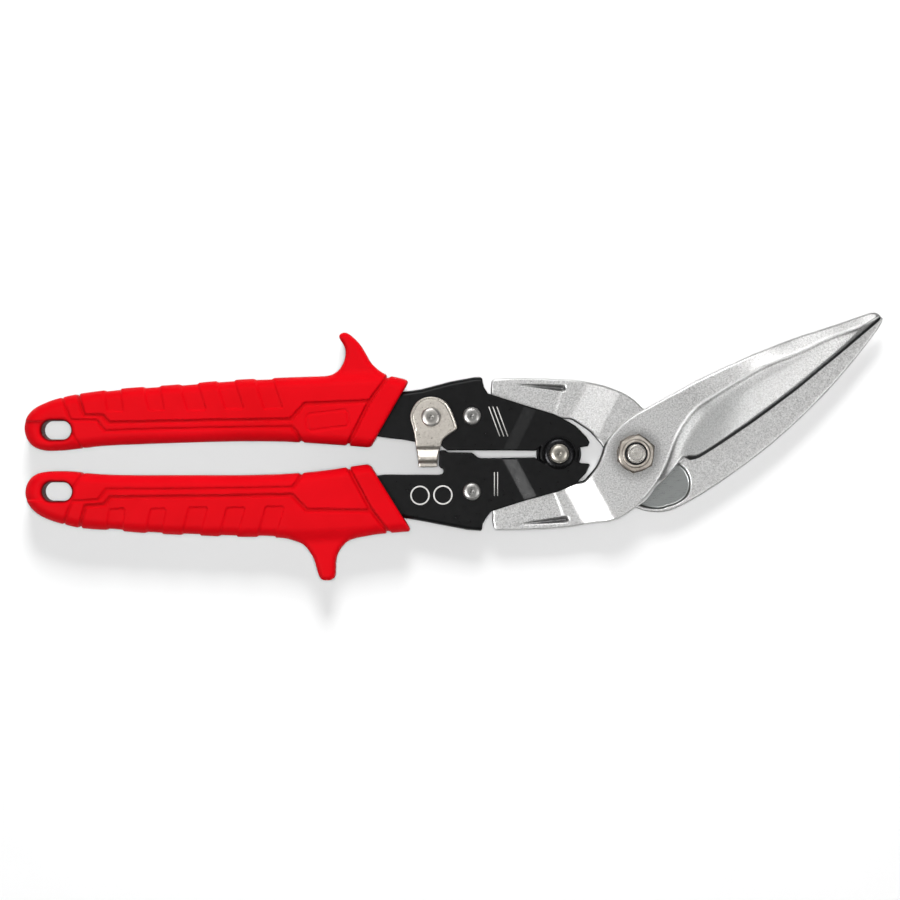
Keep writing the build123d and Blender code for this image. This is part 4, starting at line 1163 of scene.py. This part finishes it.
def make_nut():
    g = Grid(-8.3, 8.3, -8.3, 8.3, 4.6, 12.0, 0.16)
    X, Y, Z = g.X, g.Y, g.Z
    r = np.hypot(X, Y)
    hx = hex_sd(X, Y, 13.0, 21.7)
    body = round_and(hx[:, :, None], Z - 10.75, 0.14)
    body = smax(body, ((r[:, :, None] - 7.75) * 0.5 + (Z - 10.75) * 0.866 + 0.62), 0.12)
    body = smax(body, ((r[:, :, None] - 7.75) * 0.5 - (Z - 5.0) * 0.866 + 0.30), 0.25)
    body = np.maximum(body, 5.0 - Z)
    collar = round_and(r[:, :, None] - 5.15, Z - 11.15, 0.14)
    F = smin(body, collar, 0.15)
    flange = round_and(r[:, :, None] - 6.95, np.abs(Z - 5.2) - 0.2, 0.18)
    F = np.minimum(F, flange)
    F = np.maximum(F, 4.25 - r[:, :, None])
    v, f = surface(F.astype(np.float32), g)
    ob = add_mesh("lock_nut", v, f, "upper_jaw", ("pivot_nut",), True, NICKEL_NUT)
    rv = np.hypot(v[:, 0], v[:, 1])
    hv = hex_sd(v[:, 0], v[:, 1], 13.0, 21.7)
    # painted shade: darker brown along the hex's edges and round the collar, where shade falls
    st = np.maximum(0.75 * sstep(-0.75, -0.05, hv), 0.55 * (1 - sstep(0.0, 0.45, np.abs(rv - 5.25))))
    attr(ob, "edge_shade", np.clip(st, 0, 1))
    return ob


NICKEL_NUT = plated("nickel_nut", (0.47, 0.415, 0.355), (0.76, 0.71, 0.645), 0.26, 0.42, 0.55, 0.00008, edge_shade=(0.13, 0.105, 0.085))
make_nut()
lathe("lock_ring", P0, soft([(3.55, 9.8), (4.3, 9.8), (4.3, 10.55), (3.55, 10.55)], 0.12) + [(3.55, 9.8)], "upper_jaw", ("locknut_insert",), NYLON)


def make_bolt():
    g = Grid(-8.3, 8.3, -8.3, 8.3, -9.2, 13.1, 0.19)
    X, Y, Z = g.X, g.Y, g.Z
    r = np.hypot(X, Y)
    hx = hex_sd(X, Y, 13.0, 12)
    head = round_and(hx[:, :, None], np.abs(Z + 6.75) - 1.75, 0.22)
    head = smax(head, ((r[:, :, None] - 7.7) * 0.5 - (Z + 8.5) * 0.866 + 0.55), 0.25)
    ph = np.arctan2(Y, X)
    th = 0.16 * np.abs(((Z / 1.25 - ph[:, :, None] / (2 * math.pi)) % 1.0) - 0.5) * 2 * (Z > 5)
    sh = round_and(r[:, :, None] - 3.88 + 0.34 * sstep(10.2, 10.8, Z) + th * (Z < 10.5), np.maximum(Z - 12.4, -7 - Z), 0.3)
    sh = smax(sh, (r[:, :, None] - 3.54) * 0.75 + (Z - 12.4) * 0.66 + 0.30, 0.10)
    rings = 0.10 * (1 - sstep(0.8, 3.0, r))
    sh = sh + rings[:, :, None] * (Z > 11)
    F = np.minimum(head, sh)
    v, f = surface(F.astype(np.float32), g)
    return add_mesh("pivot_bolt_body", v, f, "upper_jaw", ("pivot_bolt",), True, BOLT)


make_bolt()

# ------------------------------------------------------------------ return spring: a coil round the sleeve and two legs
def tube(name, pts, r, body, nodes, mat, seg=14):
    P = np.array(pts, float)
    n = len(P)
    T = np.gradient(P, axis=0)
    T /= np.linalg.norm(T, axis=1)[:, None]
    up = np.array([0, 0, 1.0])
    verts, faces = [], []
    for i in range(n):
        a = np.cross(T[i], up); a /= max(np.linalg.norm(a), 1e-9)
        b = np.cross(a, T[i])
        for k in range(seg):
            t = 2 * math.pi * k / seg
            verts.append(P[i] + r * (math.cos(t) * a + math.sin(t) * b))
    for i in range(n - 1):
        for k in range(seg):
            k2 = (k + 1) % seg
            faces.append((i * seg + k, i * seg + k2, (i + 1) * seg + k2, (i + 1) * seg + k))
    c0 = len(verts); verts.append(P[0]); verts.append(P[-1])
    for k in range(seg):
        k2 = (k + 1) % seg
        faces.append((c0, k2, k))
        faces.append((c0 + 1, (n - 1) * seg + k, (n - 1) * seg + k2))
    me = bpy.data.meshes.new(name)
    me.from_pydata([(x * .001, y * .001, (z + MID) * .001) for x, y, z in verts], [], faces)
    me.validate(); me.update()
    me.polygons.foreach_set("use_smooth", np.ones(len(me.polygons), bool))
    ob = bpy.data.objects.new(name, me)
    bpy.context.scene.collection.objects.link(ob)
    me.materials.append(mat)
    if nodes:
        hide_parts(*nodes)
    return ob


def spring_points():
    R, wr = 7.75, 0.65
    a0 = math.radians(115)
    turns = 2 * math.pi * 2 - math.radians(230) + 2 * math.pi
    pts = []
    # upper leg, from its tip in the upper channel to the coil
    c0 = np.array([P1[0] + R * math.cos(a0), P1[1] + R * math.sin(a0)])
    legu = [np.array([-51.5, 6.9]), np.array([-50.4, 6.3]), np.array([-47.5, 5.9])]
    for p in legu:
        pts.append((p[0], p[1], 0.66))
    for t in np.linspace(0.08, 0.95, 9):
        q = (1 - t) * legu[-1] + t * c0
        q = q + np.array([0, 0.55]) * math.sin(math.pi * t)
        pts.append((q[0], q[1], 0.66))
    # coil clockwise from the top-left over to the bottom-left, two turns
    tot = math.radians(360 + 230)
    n = 96
    for k in range(n + 1):
        t = k / n
        a = a0 - tot * t
        pts.append((P1[0] + R * math.cos(a), P1[1] + R * math.sin(a), 0.66 - 1.32 * t))
    c1 = np.array([P1[0] + R * math.cos(a0), P1[1] - R * math.sin(a0)])
    legl = [np.array([-47.5, -6.3]), np.array([-50.6, -6.7]), np.array([-51.8, -7.3])]
    for t in np.linspace(0.05, 0.92, 9):
        q = (1 - t) * c1 + t * legl[0]
        q = q - np.array([0, 0.55]) * math.sin(math.pi * t)
        pts.append((q[0], q[1], -0.66))
    for p in legl:
        pts.append((p[0], p[1], -0.66))
    return pts


spring = tube("return_spring_wire", spring_points(), 0.65, None, ("return_spring",), SPRING)
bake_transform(spring)

# ------------------------------------------------------------------ plain printed marks on the sheets
def ring_mark(name, c, r, w, z, body):
    seg = 64
    verts, faces = [], []
    for rr, zz in ((r - w / 2, z), (r - w / 2, z + 0.03), (r + w / 2, z + 0.03), (r + w / 2, z)):
        for k in range(seg):
            t = 2 * math.pi * k / seg
            verts.append((c[0] + rr * math.cos(t), c[1] + rr * math.sin(t), zz))
    for i in range(4):
        j = (i + 1) % 4
        for k in range(seg):
            k2 = (k + 1) % seg
            faces.append((i * seg + k, j * seg + k, j * seg + k2, i * seg + k2))
    return add_mesh(name, verts, faces, body, (), False, PRINT)


def stripe(name, p, q, w, z, body):
    p, q = np.array(p), np.array(q)
    t = (q - p) / np.linalg.norm(q - p)
    n = np.array([-t[1], t[0]]) * w / 2
    c = [p - n, q - n, q + n, p + n]
    verts = [(a[0], a[1], z) for a in c] + [(a[0], a[1], z + 0.04) for a in c]
    faces = [(3, 2, 1, 0), (4, 5, 6, 7), (0, 1, 5, 4), (1, 2, 6, 5), (2, 3, 7, 6), (3, 0, 4, 7)]
    return add_mesh(name, verts, faces, body, (), False, PRINT)


u0, u1 = np.array(MARK_UP[0]), np.array(MARK_UP[1])
for i, (o, w) in enumerate(((0.0, 0.34), (1.5, 0.34), (3.0, 0.34))):
    stripe("print_bar_u%d" % i, u0 + (o + 0.3, -1.0), u1 + (o + 0.3, 1.0), w, 4.385, "upper_handle")
l0, l1 = np.array(MARK_LO[0]), np.array(MARK_LO[1])
for i, o in enumerate((-0.6, 0.6)):
    stripe("print_bar_l%d" % i, l0 + (o, -0.8), l1 + (o, 0.8), 0.30, 4.385, "lower_handle")
ring_mark("print_ring_a", MARK_RING_1[0], 3.35, 0.55, 4.39, "lower_handle")
ring_mark("print_ring_b", MARK_RING_2[0], 3.35, 0.55, 4.39, "lower_handle")

# ------------------------------------------------------------------ CAD nodes that stay
for node, mat in (("centre_spacer_sleeve", RIV_C),):
    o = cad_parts[node]
    o.data.materials.clear()
    o.data.materials.append(mat)

# ------------------------------------------------------------------ floor
me = bpy.data.meshes.new("floor")
me.from_pydata([(-3, -3, 0), (3, -3, 0), (3, 3, 0), (-3, 3, 0)], [], [(0, 1, 2, 3)])
floor = bpy.data.objects.new("floor", me)
bpy.context.scene.collection.objects.link(floor)
fm, nt, b, v = new_mat("floor_paper")
n = noise(nt, v, 0.02, 3, 0.5)
nt.links.new(ramp(nt, n, [(0.3, (0.93, 0.93, 0.93)), (0.7, (0.95, 0.95, 0.95))]), b.inputs["Base Color"])
b.inputs["Roughness"].default_value = 0.9
b.inputs["Specular IOR Level"].default_value = 0.1
me.materials.append(fm)
